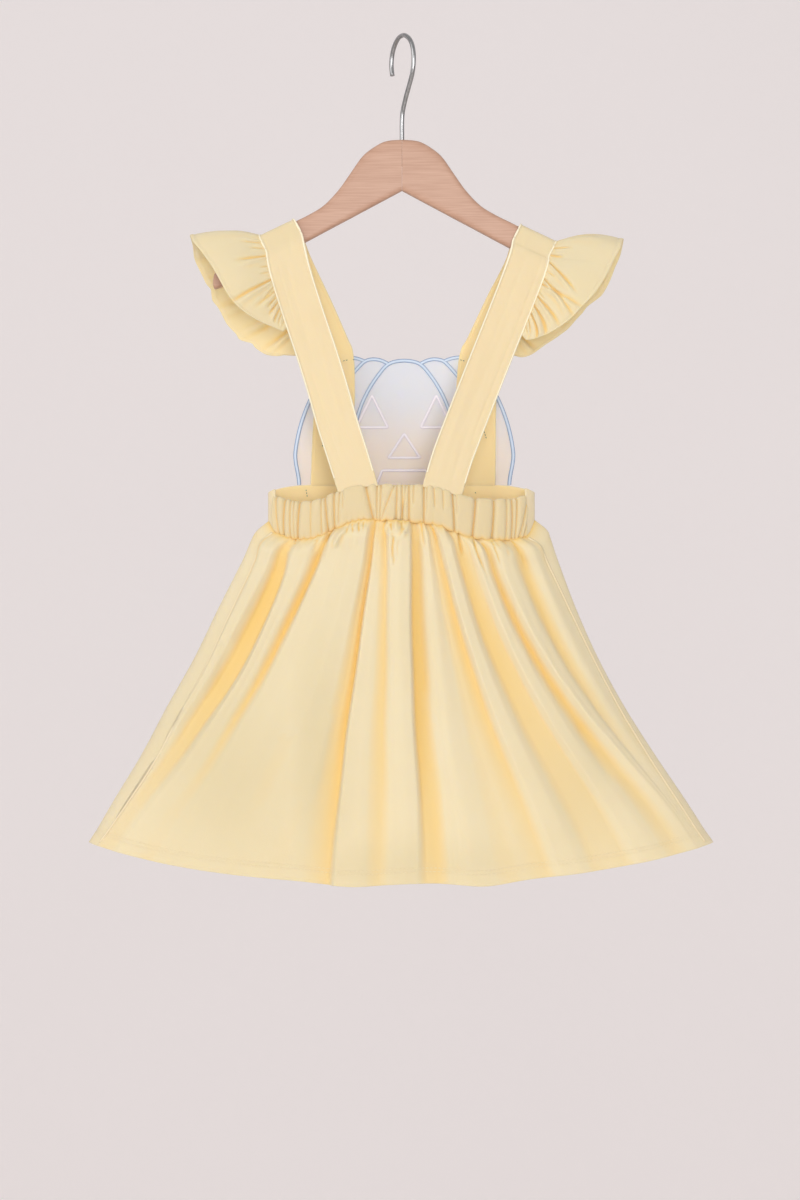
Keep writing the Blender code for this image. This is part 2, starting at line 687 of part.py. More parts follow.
def build_bib():
    """Bib with five lobes, its outline and lobe lines raised as a thick corded edge."""
    place, shift, cord = np.array(bib_columns()).T
    foot = FRONT_BAND_TOP + SEAM_GAP
    tall = BIB_LINES[0][1] - foot
    ups = np.append(np.linspace(0, 1 - 2 * CORD_HALF_WIDTH / tall, BIB_ROWS), [1 - 2 * CORD_MIDDLE / tall, 1])
    lines = np.array([BIB_LINES[k] for k in (2, 1, 0, 0, 1, 2)])
    signs = np.array([-1, -1, -1, 1, 1, 1])
    number = np.arange(len(lines))
    lobe_share = place - np.floor(place)
    top = np.interp(place, number, lines[:, 1]) + BIB_LOBE_CROWN * 4 * lobe_share * (1 - lobe_share)
    rows = []
    for up in ups:
        across = BIB_CENTRE + np.interp(place, number, signs * bib_line(lines.T, up)) + shift
        rows.append(np.stack([across, 0 * across, foot + (top - foot) * up], axis=1))
    grid = np.array(rows)
    inside = front_sheet(grid[..., 0], grid[..., 2]) + SEAM_GAP / 2
    raised = np.repeat(cord[None], len(ups), axis=0)
    raised[-2:] = 1.0
    grid[..., 1] = inside + BIB_WALL
    inward = np.zeros_like(grid)
    inward[..., 1] = -1.0
    outer = grid - inward * (raised * CORD_RELIEF)[..., None]
    inner = grid + inward * BIB_WALL
    return add_layers("bib", outer, inner)


def lofted(name, rings, smooth_shading):
    """A closed solid through rings of points, with flat ends."""
    count = len(rings[0])
    points = [point for ring in rings for point in ring]
    faces = []
    for k in range(len(rings) - 1):
        for j in range(count):
            after = (j + 1) % count
            faces.append((k * count + j, k * count + after, (k + 1) * count + after, (k + 1) * count + j))
    faces.append(tuple(range(count - 1, -1, -1)))
    faces.append(tuple(range((len(rings) - 1) * count, len(rings) * count)))
    return add_solid(name, points, faces, smooth_shading)


def cut_hole(body, radius):
    """Cut the shank's hole down into the middle of the arm."""
    rings = []
    for height in (SHANK_HOLE_FLOOR, SHANK_HOLE_MOUTH):
        turns = 2 * np.pi * (np.arange(SHANK_HOLE_SIDES) + 0.5) / SHANK_HOLE_SIDES
        rings.append([(radius * math.cos(a), radius * math.sin(a), height) for a in turns])
    cutter = lofted("shank_hole_cutter", rings, False)
    cutter.hide_render = True
    cutter.display_type = "WIRE"
    cut = body.modifiers.new("shank_hole", "BOOLEAN")
    cut.operation = "DIFFERENCE"
    cut.solver = "EXACT"
    cut.object = cutter


def build_arm(name, side):
    """One wooden half of the hanger, rounded along its edges."""
    rings = []
    for across, top, bottom in ARM_PROFILE:
        edge = min(ARM_EDGE, (top - bottom) / 3)
        section = ((ARM_FLAT, top), (ARM_HALF_THICKNESS, top - edge), (ARM_HALF_THICKNESS, bottom + edge),
                   (ARM_FLAT, bottom), (-ARM_FLAT, bottom), (-ARM_HALF_THICKNESS, bottom + edge),
                   (-ARM_HALF_THICKNESS, top - edge), (-ARM_FLAT, top))
        rings.append([(side * across, deep, height) for deep, height in section])
    arm = lofted(name, rings, False)
    cut_hole(arm, SHANK_HOLE_RADIUS)
    return arm


def build_hook():
    """Wire hook: shank in the hole, round over the rail, tip behind it."""
    turn = math.radians(HOOK_TURN)
    path = even_steps(curve_through([(out, 0.0, height) for out, height in HOOK_PATH], 400), HOOK_STEPS)
    ahead = np.gradient(path, axis=0)
    ahead /= np.linalg.norm(ahead, axis=1, keepdims=True)
    rings = []
    for point, way in zip(path, ahead):
        beside = np.array([way[2], 0.0, -way[0]])
        ring = []
        for k in range(WIRE_SIDES):
            a = 2 * math.pi * k / WIRE_SIDES
            out, _, height = point + WIRE_RADIUS * math.cos(a) * beside
            off = WIRE_RADIUS * math.sin(a)
            ring.append((out * math.sin(turn) + off * math.cos(turn),
                         -out * math.cos(turn) + off * math.sin(turn), height))
        rings.append(ring)
    return lofted("hanger_hook", rings, True)


def finish(name, colour, roughness, metallic):
    """A plain named material."""
    material = bpy.data.materials.new(name)
    material.use_nodes = True
    shader = material.node_tree.nodes["Principled BSDF"]
    shader.inputs["Base Color"].default_value = (*colour, 1.0)
    shader.inputs["Roughness"].default_value = roughness
    shader.inputs["Metallic"].default_value = metallic
    material.diffuse_color = (*colour, 1.0)
    return material


def main():
    """Build every piece and give it its own material."""
    for old in list(bpy.data.objects):
        bpy.data.objects.remove(old, do_unlink=True)
    yellow = (0.90, 0.75, 0.42)
    pieces = (
        (build_arm("hanger_arm_left", -1), (0.53, 0.30, 0.20), 0.50, 0.0),
        (build_arm("hanger_arm_right", 1), (0.50, 0.28, 0.18), 0.50, 0.0),
        (build_hook(), (0.55, 0.55, 0.56), 0.30, 1.0),
        (build_waistband_back(), yellow, 0.90, 0.0),
        (build_waistband_front(), yellow, 0.90, 0.0),
        (build_skirt_back(), yellow, 0.90, 0.0),
        (build_skirt_front(), yellow, 0.90, 0.0),
        (build_strap("strap_left", -1), yellow, 0.90, 0.0),
        (build_strap("strap_right", 1), yellow, 0.90, 0.0),
        (build_ruffle("ruffle_left", -1, RUFFLE_LEFT_EDGE), yellow, 0.90, 0.0),
        (build_ruffle("ruffle_right", 1, RUFFLE_RIGHT_EDGE), yellow, 0.90, 0.0),
        (build_bib(), (0.74, 0.77, 0.82), 0.85, 0.0),
    )
    for part, colour, roughness, metallic in pieces:
        part.data.materials.append(finish(part.name + "_finish", colour, roughness, metallic))


main()
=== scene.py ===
"""Looks of a child's ruffle dress on a flat wooden clothes hanger.

Metres, +Z up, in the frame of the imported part: the back of the dress faces -Y and the
origin is the inner top of the hook. Cloth pieces are fine shells on the forms of the
solids that they stand for.
"""

import logging
import math
from dataclasses import dataclass
from enum import Enum

import bpy
import numpy as np
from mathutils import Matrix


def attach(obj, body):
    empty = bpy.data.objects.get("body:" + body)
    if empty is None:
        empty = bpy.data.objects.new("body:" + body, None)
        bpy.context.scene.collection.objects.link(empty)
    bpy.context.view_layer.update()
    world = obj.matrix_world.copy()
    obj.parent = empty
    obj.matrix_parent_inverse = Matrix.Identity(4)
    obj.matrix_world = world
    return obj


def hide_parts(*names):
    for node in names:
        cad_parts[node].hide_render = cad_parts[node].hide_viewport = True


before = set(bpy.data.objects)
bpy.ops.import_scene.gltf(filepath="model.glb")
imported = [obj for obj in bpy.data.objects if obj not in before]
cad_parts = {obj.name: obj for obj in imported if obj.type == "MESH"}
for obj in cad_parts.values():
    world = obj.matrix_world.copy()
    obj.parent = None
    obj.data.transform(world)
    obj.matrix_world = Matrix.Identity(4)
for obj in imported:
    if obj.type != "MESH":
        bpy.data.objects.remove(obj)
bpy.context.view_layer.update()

LOG = logging.getLogger("ruffle_dress")
BODY = "root"
CLOTH_UV = "cloth"
# Attributes that the cotton's colour reads: painted shade, golden, in folds, at seams and on inside faces; a
# duller colour, painted shade in places and plain dulling elsewhere; painted light on inside faces that light
# comes through.
PAINTED_SHADE_LAYER = "fold"
DULL_AND_SHADE_LAYER = "dull_and_shade"
LIT_LAYER = "lit"
SEAM_GAP = 0.0003
GRAIN_LEAN = 0.45

Grid = np.ndarray
Rows = tuple[tuple[float, ...], ...]


class Hold(Enum):
    """How a sheet of cloth is held."""

    GATHERED = "gathered"
    STRETCHED = "stretched"
    HUNG = "hung"


class Slot(Enum):
    """Material slots."""

    WOOD = "hanger_wood"
    STEEL = "hook_steel"
    YELLOW = "yellow_cotton"
    BIB = "bib_cotton"
    PIPING = "cream_piping"
    BLUE = "blue_satin_thread"
    PALE = "pale_satin_thread"
    THREAD = "yellow_thread"
    GREEN = "green_thread"


class Side(Enum):
    """Left or right as seen from the back of the dress."""

    LEFT = -1
    RIGHT = 1


# Curves and grids


def curve_through(rows: Rows | Grid, count: int) -> Grid:
    """A smooth line through rows, each stretch a cubic set by its two neighbours.

    Args:
        rows: points or table rows, in order.
        count: points wanted, even in the row number.

    Returns:
        The line as count rows.
    """
    points = np.asarray(rows, dtype=float)
    padded = np.vstack([2 * points[0] - points[1], points, 2 * points[-1] - points[-2]])
    place = np.linspace(0, len(points) - 1, count)
    start = np.minimum(place.astype(int), len(points) - 2)
    share = (place - start)[:, None]
    before, first, second, after = (padded[start + k] for k in range(4))
    return 0.5 * (2 * first + (second - before) * share
                  + (2 * before - 5 * first + 4 * second - after) * share ** 2
                  + (3 * first - before - 3 * second + after) * share ** 3)


def run_lengths(points: Grid) -> Grid:
    """Distance run along a line up to each of its points."""
    return np.concatenate([[0], np.cumsum(np.linalg.norm(np.diff(points, axis=0), axis=1))])


def read_at(where: Grid, places: Grid, table: Grid) -> Grid:
    """Each column of a table with a row for each place, read at places between its rows."""
    return np.stack([np.interp(where, places, column) for column in table.T], axis=-1)


def even_steps(points: Grid, count: int) -> Grid:
    """The same line again with its points an even distance apart.

    Args:
        points: rows whose first three columns are a place.
        count: points wanted.

    Returns:
        The line as count rows.
    """
    far = run_lengths(points[:, :3])
    return read_at(np.linspace(0, far[-1], count), far, points)


def four_heights(values: tuple[float, ...] | Grid, down: Grid | float) -> Grid:
    """A cubic through four values at 0, a third, two thirds and 1.

    Args:
        values: the four values.
        down: where it is read, 0 to 1.

    Returns:
        The cubic's value at down.
    """
    a, b, c, d = values
    s = 3 * np.asarray(down)
    return (-a * (s - 1) * (s - 2) * (s - 3) / 6 + b * s * (s - 2) * (s - 3) / 2
            - c * s * (s - 1) * (s - 3) / 2 + d * s * (s - 1) * (s - 2) / 6)


def smooth(share: Grid | float) -> Grid:
    """Ease from 0 to 1 with level ends: 3s^2 - 2s^3."""
    share = np.clip(share, 0, 1)
    return share * share * (3 - 2 * share)


def unit(vectors: Grid) -> Grid:
    """The same directions with length 1."""
    return vectors / np.maximum(np.linalg.norm(vectors, axis=-1, keepdims=True), 1e-12)


def fuller(wave: Grid, fullness: float) -> Grid:
    """A sine or cosine raised to a power with its sign kept, for a fuller or squarer section."""
    return np.sign(wave) * np.abs(wave) ** fullness


def depthways(points: Grid, sign: float = 1.0) -> Grid:
    """Ways along the depth, one for each point.

    Args:
        points: the points.
        sign: the ways' length, less than 0 towards the back of the dress.

    Returns:
        An array like the points.
    """
    ways = np.zeros_like(points)
    ways[..., 1] = sign
    return ways


def grid_normals(grid: Grid) -> Grid:
    """Unit normals of a grid of points: the cross product of its columns' and rows' ways."""
    return unit(np.cross(np.gradient(grid, axis=1), np.gradient(grid, axis=0)))


def cloth_lengths(grid: Grid) -> Grid:
    """Lengths along the cloth, for its weave.

    Across is summed along each row from its middle, down along each column from the top.

    Args:
        grid: rows x columns x 3 points.

    Returns:
        rows x columns x 2 lengths in metres.
    """
    across = np.cumsum(np.linalg.norm(np.diff(grid, axis=1, prepend=grid[:, :1]), axis=2), axis=1)
    across = across - across[:, across.shape[1] // 2][:, None]
    down = np.cumsum(np.linalg.norm(np.diff(grid, axis=0, prepend=grid[:1]), axis=2), axis=0)
    return np.stack([across, -down], axis=-1)


def sunken(relief: Grid, far: Grid, reach: float, full: float) -> Grid:
    """How deep places lie in folds, 0 to 1.

    Each row's relief is taken from its mean over a reach to both sides, which is the
    difference of the running area under it, and divided by the depth that counts as full.

    Args:
        relief: rows x columns of relief.
        far: rows x columns of lengths along the row.
        reach: distance to both sides.
        full: depth that gives 1.

    Returns:
        Rows x columns of shares.
    """
    rows = []
    for high, place in zip(relief, far):
        area = np.concatenate([[0], np.cumsum(np.diff(place) * (high[1:] + high[:-1]) / 2)])
        first, last = np.maximum(place - reach, place[0]), np.minimum(place + reach, place[-1])
        mean = (np.interp(last, place, area) - np.interp(first, place, area)) / (last - first)
        rows.append(np.clip((mean - high) / full, 0, 1))
    return np.array(rows)


def rounded_path(corners: Rows, count: int, blur: int, closed: bool) -> Grid:
    """A line through corners with the corners rounded by a running mean.

    Args:
        corners: the corner points.
        count: points wanted.
        blur: points to each side in the mean.
        closed: whether the last corner joins the first.

    Returns:
        Count rows.
    """
    points = np.asarray(corners, dtype=float)
    if closed:
        line = even_steps(np.vstack([points, points[:1]]), count + 1)[:-1]
        return sum(np.roll(line, k, axis=0) for k in range(-blur, blur + 1)) / (2 * blur + 1)
    line = even_steps(points, count)
    index = np.arange(count)
    reach = np.minimum(blur, np.minimum(index, count - 1 - index))
    area = np.vstack([0 * line[:1], np.cumsum(line, axis=0)])
    return (area[index + reach + 1] - area[index - reach]) / (2 * reach + 1)[:, None]


# Meshes


def make_mesh(name: str, points: Grid, quads: Grid, caps: list[list[int]] | None = None,
              lengths: Grid | None = None, tints: dict[str, Grid] | None = None) -> bpy.types.Object:
    """A closed mesh object with its faces outward.

    The volume is summed over the faces' triangles, and the faces are turned if it is negative.

    Args:
        name: the object's name.
        points: n x 3 places.
        quads: m x 4 point numbers.
        caps: faces with any number of points.
        lengths: n x 2 cloth lengths for the weave.
        tints: n values for each named attribute that a finish reads.

    Returns:
        The mesh object.
    """
    a, b, c, d = (points[quads[:, k]] for k in range(4))
    volume = np.sum(a * np.cross(b, c)) + np.sum(a * np.cross(c, d))
    for cap in caps or []:
        fan = points[cap]
        volume += np.sum(fan[0] * np.sum(np.cross(fan[1:-1], fan[2:]), axis=0))
    faces = quads.tolist() + [list(cap) for cap in caps or []]
    if volume < 0:
        faces = [face[::-1] for face in faces]
    mesh = bpy.data.meshes.new(name)
    mesh.from_pydata(points.tolist(), [], faces)
    mesh.polygons.foreach_set("use_smooth", np.ones(len(mesh.polygons), dtype=bool))
    if lengths is not None:
        corners = np.empty(len(mesh.loops), dtype=np.int32)
        mesh.loops.foreach_get("vertex_index", corners)
        layer = mesh.uv_layers.new(name=CLOTH_UV)
        layer.data.foreach_set("uv", lengths[corners].astype(np.float32).ravel())
    for layer_name, values in (tints or {}).items():
        layer = mesh.attributes.new(layer_name, "FLOAT", "POINT")
        layer.data.foreach_set("value", values.astype(np.float32))
    mesh.update()
    piece = bpy.data.objects.new(name, mesh)
    bpy.context.collection.objects.link(piece)
    return piece


def closed_shell(name: str, outer: Grid, inner: Grid,
                 tints: dict[str, tuple[Grid, Grid]] | None = None) -> bpy.types.Object:
    """A wall between two grids, its edge carried round as half an ellipse.

    Args:
        name: the object's name.
        outer: rows x columns x 3 points of the outer face.
        inner: the same of the inner face.
        tints: for each named attribute the values of the outer and of the inner face.

    Returns:
        The closed mesh object.
    """
    rows, columns = outer.shape[:2]
    layer = rows * columns
    index = np.arange(layer).reshape(rows, columns)
    quads = np.stack([index[:-1, :-1], index[:-1, 1:], index[1:, 1:], index[1:, :-1]], axis=-1)
    quads = quads.reshape(-1, 4)
    middle = (outer + inner) / 2
    away = np.zeros_like(outer)
    away[0] += unit(middle[0] - middle[1])
    away[-1] += unit(middle[-1] - middle[-2])
    away[:, 0] += unit(middle[:, 0] - middle[:, 1])
    away[:, -1] += unit(middle[:, -1] - middle[:, -2])
    rim = np.concatenate([index[0, :], index[1:, -1], index[-1, -2::-1], index[-2:0:-1, 0]])
    centre, out = middle.reshape(-1, 3)[rim], unit(away.reshape(-1, 3)[rim])
    half = (outer - inner).reshape(-1, 3)[rim] / 2
    thick = np.linalg.norm(half, axis=1, keepdims=True)
    turns = np.radians([45.0, 90.0, 135.0])
    rings = [centre + half * math.cos(a) + out * thick * math.sin(a) for a in turns]
    loops = [rim] + [2 * layer + k * len(rim) + np.arange(len(rim)) for k in range(len(rings))]
    loops.append(rim + layer)
    strips = [np.stack([np.roll(first, -1), first, second, np.roll(second, -1)], axis=1)
              for first, second in zip(loops[:-1], loops[1:])]
    flat = cloth_lengths(outer).reshape(-1, 2)
    points = np.concatenate([outer.reshape(-1, 3), inner.reshape(-1, 3), *rings])
    uvs = np.concatenate([flat, flat, *([flat[rim]] * len(rings))])
    faces = np.concatenate([quads, quads[:, ::-1] + layer, *strips])
    layers = {tint: np.concatenate([first.ravel(), second.ravel(), *([first.ravel()[rim]] * len(rings))])
              for tint, (first, second) in (tints or {}).items()}
    return make_mesh(name, points, faces, lengths=uvs, tints=layers)


def swept(name: str, path: Grid, up: Grid, widths: Grid | float, heights: Grid | float,
          sides: int = 12, closed: bool = False, fullness: float = 1.0) -> bpy.types.Object:
    """A rounded section carried along a path.

    Each ring is centre + width * cos * beside + height * sin * up, with the cosine and sine
    raised to a power that makes the section fuller or squarer.

    Args:
        name: the object's name.
        path: n x 3 centres.
        up: n x 3 ways of the section's height.
        widths: half width, one number or one for each centre.
        heights: half height, likewise.
        sides: points round the section.
        closed: whether the last ring joins the first.
        fullness: 1 for an ellipse, less for a squarer section.

    Returns:
        The closed mesh object.
    """
    count = len(path)
    ahead = np.roll(path, -1, axis=0) - np.roll(path, 1, axis=0) if closed else np.gradient(path, axis=0)
    ahead = unit(ahead)
    beside = unit(np.cross(ahead, up))
    level = unit(np.cross(beside, ahead))
    turns = 2 * np.pi * np.arange(sides) / sides
    wide, high = fuller(np.cos(turns), fullness), fuller(np.sin(turns), fullness)
    widths = np.broadcast_to(widths, (count,))[:, None, None]
    heights = np.broadcast_to(heights, (count,))[:, None, None]
    rings = (path[:, None] + beside[:, None] * wide[None, :, None] * widths
             + level[:, None] * high[None, :, None] * heights)
    index = np.arange(count * sides).reshape(count, sides)
    following = np.roll(index, -1, axis=1)
    if closed:
        ahead_index, ahead_following = np.roll(index, -1, axis=0), np.roll(following, -1, axis=0)
        caps = []
    else:
        ahead_index, ahead_following = index[1:], following[1:]
        index, following = index[:-1], following[:-1]
        caps = [list(range(sides - 1, -1, -1)), list(range((count - 1) * sides, count * sides))]
    quads = np.stack([index, following, ahead_following, ahead_index], axis=-1).reshape(-1, 4)
    far = run_lengths(path)
    lengths = np.stack([wide[None] * widths[..., 0], np.broadcast_to(far[:, None], (count, sides))], axis=-1)
    lengths = lengths.reshape(-1, 2)
    return make_mesh(name, rings.reshape(-1, 3), quads, caps, lengths)


def stitch_row(name: str, path: Grid, up: Grid, pitch: float, length: float,
               radius: float) -> bpy.types.Object:
    """Separate stitches along a line, each a short spindle with pointed ends.

    A stitch's radius is the thread's times the square root of 1 - s^2 over its length.

    Args:
        name: the object's name.
        path: n x 3 points of the line, on the cloth.
        up: n x 3 ways out of the cloth.
        pitch: distance from one stitch to the next.
        length: length of a stitch.
        radius: radius of the thread.

    Returns:
        One mesh object with all stitches.
    """
    far = run_lengths(path)
    starts = np.arange(pitch / 2, far[-1] - length, pitch)
    share = np.array([0.0, 0.2, 0.5, 0.8, 1.0])
    fat = np.sqrt(np.maximum(1 - (2 * share - 1) ** 2, 0.04))
    sides = 6
    place = starts[:, None] + share[None] * length
    read = read_at(place, far, np.hstack([path, up]))
    centre, level = read[..., :3], unit(read[..., 3:])
    ahead = unit(centre[:, -1:] - centre[:, :1])
    beside = unit(np.cross(np.broadcast_to(ahead, centre.shape), level))
    turns = 2 * np.pi * np.arange(sides) / sides
    rings = (centre[:, :, None] + radius * fat[None, :, None, None]
             * (beside[:, :, None] * np.cos(turns)[:, None] + level[:, :, None] * np.sin(turns)[:, None]))
    rings += level[:, :, None] * radius * 0.3 * fat[None, :, None, None]
    count, steps = len(starts), len(share)
    index = np.arange(count * steps * sides).reshape(count, steps, sides)
    following = np.roll(index, -1, axis=2)
    quads = np.stack([index[:, :-1], following[:, :-1], following[:, 1:], index[:, 1:]], axis=-1)
    first = index[:, 0, ::-1]
    last = index[:, -1]
    ends = np.concatenate([first[:, [0, 1, 2, 3]], first[:, [3, 4, 5, 0]],
                           last[:, [0, 1, 2, 3]], last[:, [3, 4, 5, 0]]])
    faces = np.concatenate([quads.reshape(-1, 4), ends])
    lengths = np.zeros((count * steps * sides, 2))
    lengths[:, 1] = np.repeat(place.ravel(), sides)
    return make_mesh(name, rings.reshape(-1, 3), faces, lengths=lengths)


# Finishes


class Shader:
    """A material's node tree with short calls to add and join its nodes."""

    def __init__(self, name: str) -> None:
        """Start a material with one Principled shader.

        Args:
            name: its name.
        """
        self.material = bpy.data.materials.new(name)
        self.material.use_nodes = True
        self.tree = self.material.node_tree
        self.surface = self.tree.nodes["Principled BSDF"]

    def add(self, kind: str, **settings: object) -> bpy.types.Node:
        """Add a node.

        Args:
            kind: the node's type name.
            settings: its properties by name.

        Returns:
            The node.
        """
        node = self.tree.nodes.new(kind)
        for name, value in settings.items():
            setattr(node, name, value)
        return node

    def join(self, source: bpy.types.NodeSocket, target: bpy.types.NodeSocket) -> None:
        """Join two sockets."""
        self.tree.links.new(source, target)

    def fixed(self, **values: float | tuple[float, ...]) -> None:
        """Set sockets of the Principled shader, underscores in names standing for spaces."""
        for name, value in values.items():
            self.surface.inputs[name.replace("_", " ")].default_value = value

    def place(self, scale: tuple[float, float, float], woven: bool,
              turn: tuple[float, float, float] = (0.0, 0.0, 0.0)) -> bpy.types.NodeSocket:
        """Coordinates of a pattern.

        Args:
            scale: pattern repeats to a metre along each way.
            woven: True to follow the cloth's own lengths, False for the object's space.
            turn: turn of the pattern in radians.

        Returns:
            The mapped coordinate socket.
        """
        mapping = self.add("ShaderNodeMapping")
        mapping.inputs["Scale"].default_value = scale
        mapping.inputs["Rotation"].default_value = turn
        if woven:
            source = self.add("ShaderNodeUVMap", uv_map=CLOTH_UV).outputs["UV"]
        else:
            source = self.add("ShaderNodeTexCoord").outputs["Object"]
        self.join(source, mapping.inputs["Vector"])
        return mapping.outputs["Vector"]

    def noise(self, place: bpy.types.NodeSocket, detail: float = 2.0,
              roughness: float = 0.5) -> bpy.types.NodeSocket:
        """A noise pattern, about 0 to 1.

        Args:
            place: its coordinates.
            detail: how many finer layers it has.
            roughness: how strong the finer layers are.

        Returns:
            The value's socket.
        """
        node = self.add("ShaderNodeTexNoise")
        node.inputs["Scale"].default_value = 1.0
        node.inputs["Detail"].default_value = detail
        node.inputs["Roughness"].default_value = roughness
        self.join(place, node.inputs["Vector"])
        return node.outputs["Fac"]

    def bands(self, place: bpy.types.NodeSocket, direction: str, distortion: float = 0.0,
              detail: float = 0.0) -> bpy.types.NodeSocket:
        """Even sine bands.

        Args:
            place: their coordinates.
            direction: the axis that they cross.
            distortion: how much they waver.
            detail: how many finer layers the wavering has.

        Returns:
            The value's socket.
        """
        node = self.add("ShaderNodeTexWave", wave_type="BANDS", bands_direction=direction)
        node.inputs["Scale"].default_value = 1.0
        node.inputs["Distortion"].default_value = distortion
        node.inputs["Detail"].default_value = detail
        self.join(place, node.inputs["Vector"])
        return node.outputs["Fac"]

    def maths(self, operation: str, first: bpy.types.NodeSocket | float,
              second: bpy.types.NodeSocket | float) -> bpy.types.NodeSocket:
        """One sum, product or other operation of two values.

        Args:
            operation: its name.
            first: a socket or a number.
            second: a socket or a number.

        Returns:
            The result's socket.
        """
        node = self.add("ShaderNodeMath", operation=operation)
        for socket, value in zip(node.inputs, (first, second)):
            if isinstance(value, (int, float)):
                socket.default_value = value
            else:
                self.join(value, socket)
        return node.outputs[0]

    def ramp(self, value: bpy.types.NodeSocket, low: float, high: float,
             first: tuple[float, float, float], second: tuple[float, float, float]) -> bpy.types.NodeSocket:
        """Colours between two stops of a value.

        Args:
            value: the value's socket.
            low: the first stop.
            high: the second stop.
            first: colour at and below the first stop.
            second: colour at and above the second stop.

        Returns:
            The colour's socket.
        """
        node = self.add("ShaderNodeValToRGB")
        node.color_ramp.elements[0].position = low
        node.color_ramp.elements[1].position = high
        node.color_ramp.elements[0].color = (*first, 1.0)
        node.color_ramp.elements[1].color = (*second, 1.0)
        self.join(value, node.inputs["Fac"])
        return node.outputs["Color"]

    def mixed(self, share: bpy.types.NodeSocket | float, first: bpy.types.NodeSocket,
              second: bpy.types.NodeSocket) -> bpy.types.NodeSocket:
        """Two colours mixed.

        Args:
            share: share of the second colour, a socket or a number.
            first: the first colour's socket.
            second: the second colour's socket.

        Returns:
            The colour's socket.
        """
        node = self.add("ShaderNodeMix", data_type="RGBA")
        if isinstance(share, (int, float)):
            node.inputs[0].default_value = share
        else:
            self.join(share, node.inputs[0])
        self.join(first, node.inputs[6])
        self.join(second, node.inputs[7])
        return node.outputs[2]

    def attribute(self, name: str) -> bpy.types.NodeSocket:
        """A value that the mesh carries at its points."""
        return self.add("ShaderNodeAttribute", attribute_name=name).outputs["Fac"]

    def plain(self, colour: tuple[float, float, float]) -> bpy.types.NodeSocket:
        """One fixed colour.

        Args:
            colour: red, green and blue.

        Returns:
            The colour's socket.
        """
        node = self.add("ShaderNodeRGB")
        node.outputs[0].default_value = (*colour, 1.0)
        return node.outputs[0]

    def part(self, place: bpy.types.NodeSocket, number: int) -> bpy.types.NodeSocket:
        """One of the three parts of a coordinate.

        Args:
            place: the coordinate's socket.
            number: 0, 1 or 2 for x, y or z.

        Returns:
            The part's socket.
        """
        node = self.add("ShaderNodeSeparateXYZ")
        self.join(place, node.inputs[0])
        return node.outputs[number]

    def raise_by(self, height: bpy.types.NodeSocket, distance: float, strength: float = 1.0) -> None:
        """Use a pattern as the surface's relief.

        Args:
            height: the pattern's socket.
            distance: its full height in metres.
            strength: how much of it shows.
        """
        bump = self.add("ShaderNodeBump")
        bump.inputs["Distance"].default_value = distance
        bump.inputs["Strength"].default_value = strength
        self.join(height, bump.inputs["Height"])
        self.join(bump.outputs["Normal"], self.surface.inputs["Normal"])


def shaded(colour: tuple[float, float, float], factor: float) -> tuple[float, float, float]:
    """A colour with each part raised to a power, so that it deepens without going grey."""
    return tuple(part ** factor for part in colour)


@dataclass(frozen=True)
class CottonFinish:
    """Plain woven cotton: two sets of threads, slubs, and a little uneven dye.

    Its base colour also carries painted shade and painted light: golden painted shade where the cloth lies in
    folds, at seams and on inside faces; a duller colour that is painted shade in places and plain dulling in
    others; warmer painted light on inside faces that light comes through; and painted shade in the weave's
    valleys.
    """

    name: str
    colour: tuple[float, float, float]
    # colour of the painted shade in folds, at seams and on inside faces
    fold: tuple[float, float, float]
    # duller colour: painted shade in places, plain dulling in others
    dull_and_shade: tuple[float, float, float]
    # colour of the painted light on inside faces that light comes through
    lit: tuple[float, float, float] = (1.0, 0.78, 0.45)
    depth: float = 1.10
    thread: float = 0.00034
    relief: float = 0.00006
    roughness: float = 0.88
    sheen: float = 0.22
    translucency: float = 0.0

    def make(self) -> bpy.types.Material:
        """Build the material.

        Returns:
            The cotton material.
        """
        shader = Shader(self.name)
        repeats = 0.5 / self.thread
        weave = shader.place((repeats, repeats, 1.0), True)
        warp = shader.bands(weave, "X", 0.6, 1.0)
        weft = shader.bands(weave, "Y", 0.6, 1.0)
        threads = shader.maths("MULTIPLY", warp, weft)
        slubs = shader.noise(shader.place((2600.0, 120.0, 1.0), True), 1.0)
        lumps = shader.noise(shader.place((240.0, 240.0, 240.0), False), 3.0)
        height = shader.maths("ADD", threads, shader.maths("MULTIPLY", slubs, 0.6))
        height = shader.maths("ADD", height, shader.maths("MULTIPLY", lumps, 0.8))
        shader.raise_by(height, self.relief, 0.8)
        dye = shader.noise(shader.place((18.0, 18.0, 18.0), False), 4.0, 0.6)
        even = shader.ramp(dye, 0.3, 0.7, shaded(self.colour, self.depth), self.colour)
        # painted shade in the weave's valleys between threads
        valley_shade = shader.ramp(threads, 0.0, 0.5, shaded(self.colour, 1.18), self.colour)
        cloth = shader.mixed(0.35, even, valley_shade)
        # painted shade and dulling, then painted light, then painted shade in folds, each mixed in by its
        # attribute
        cloth = shader.mixed(shader.attribute(DULL_AND_SHADE_LAYER), cloth, shader.plain(self.dull_and_shade))
        cloth = shader.mixed(shader.attribute(LIT_LAYER), cloth, shader.plain(self.lit))
        cloth = shader.mixed(shader.attribute(PAINTED_SHADE_LAYER), cloth, shader.plain(self.fold))
        shader.join(cloth, shader.surface.inputs["Base Color"])
        shader.fixed(Roughness=self.roughness, Sheen_Weight=self.sheen, Sheen_Roughness=0.5)
        if self.translucency:
            shader.fixed(Subsurface_Weight=self.translucency, Subsurface_Radius=(0.0035, 0.0028, 0.0015),
                         Subsurface_Scale=1.0)
        return shader.material


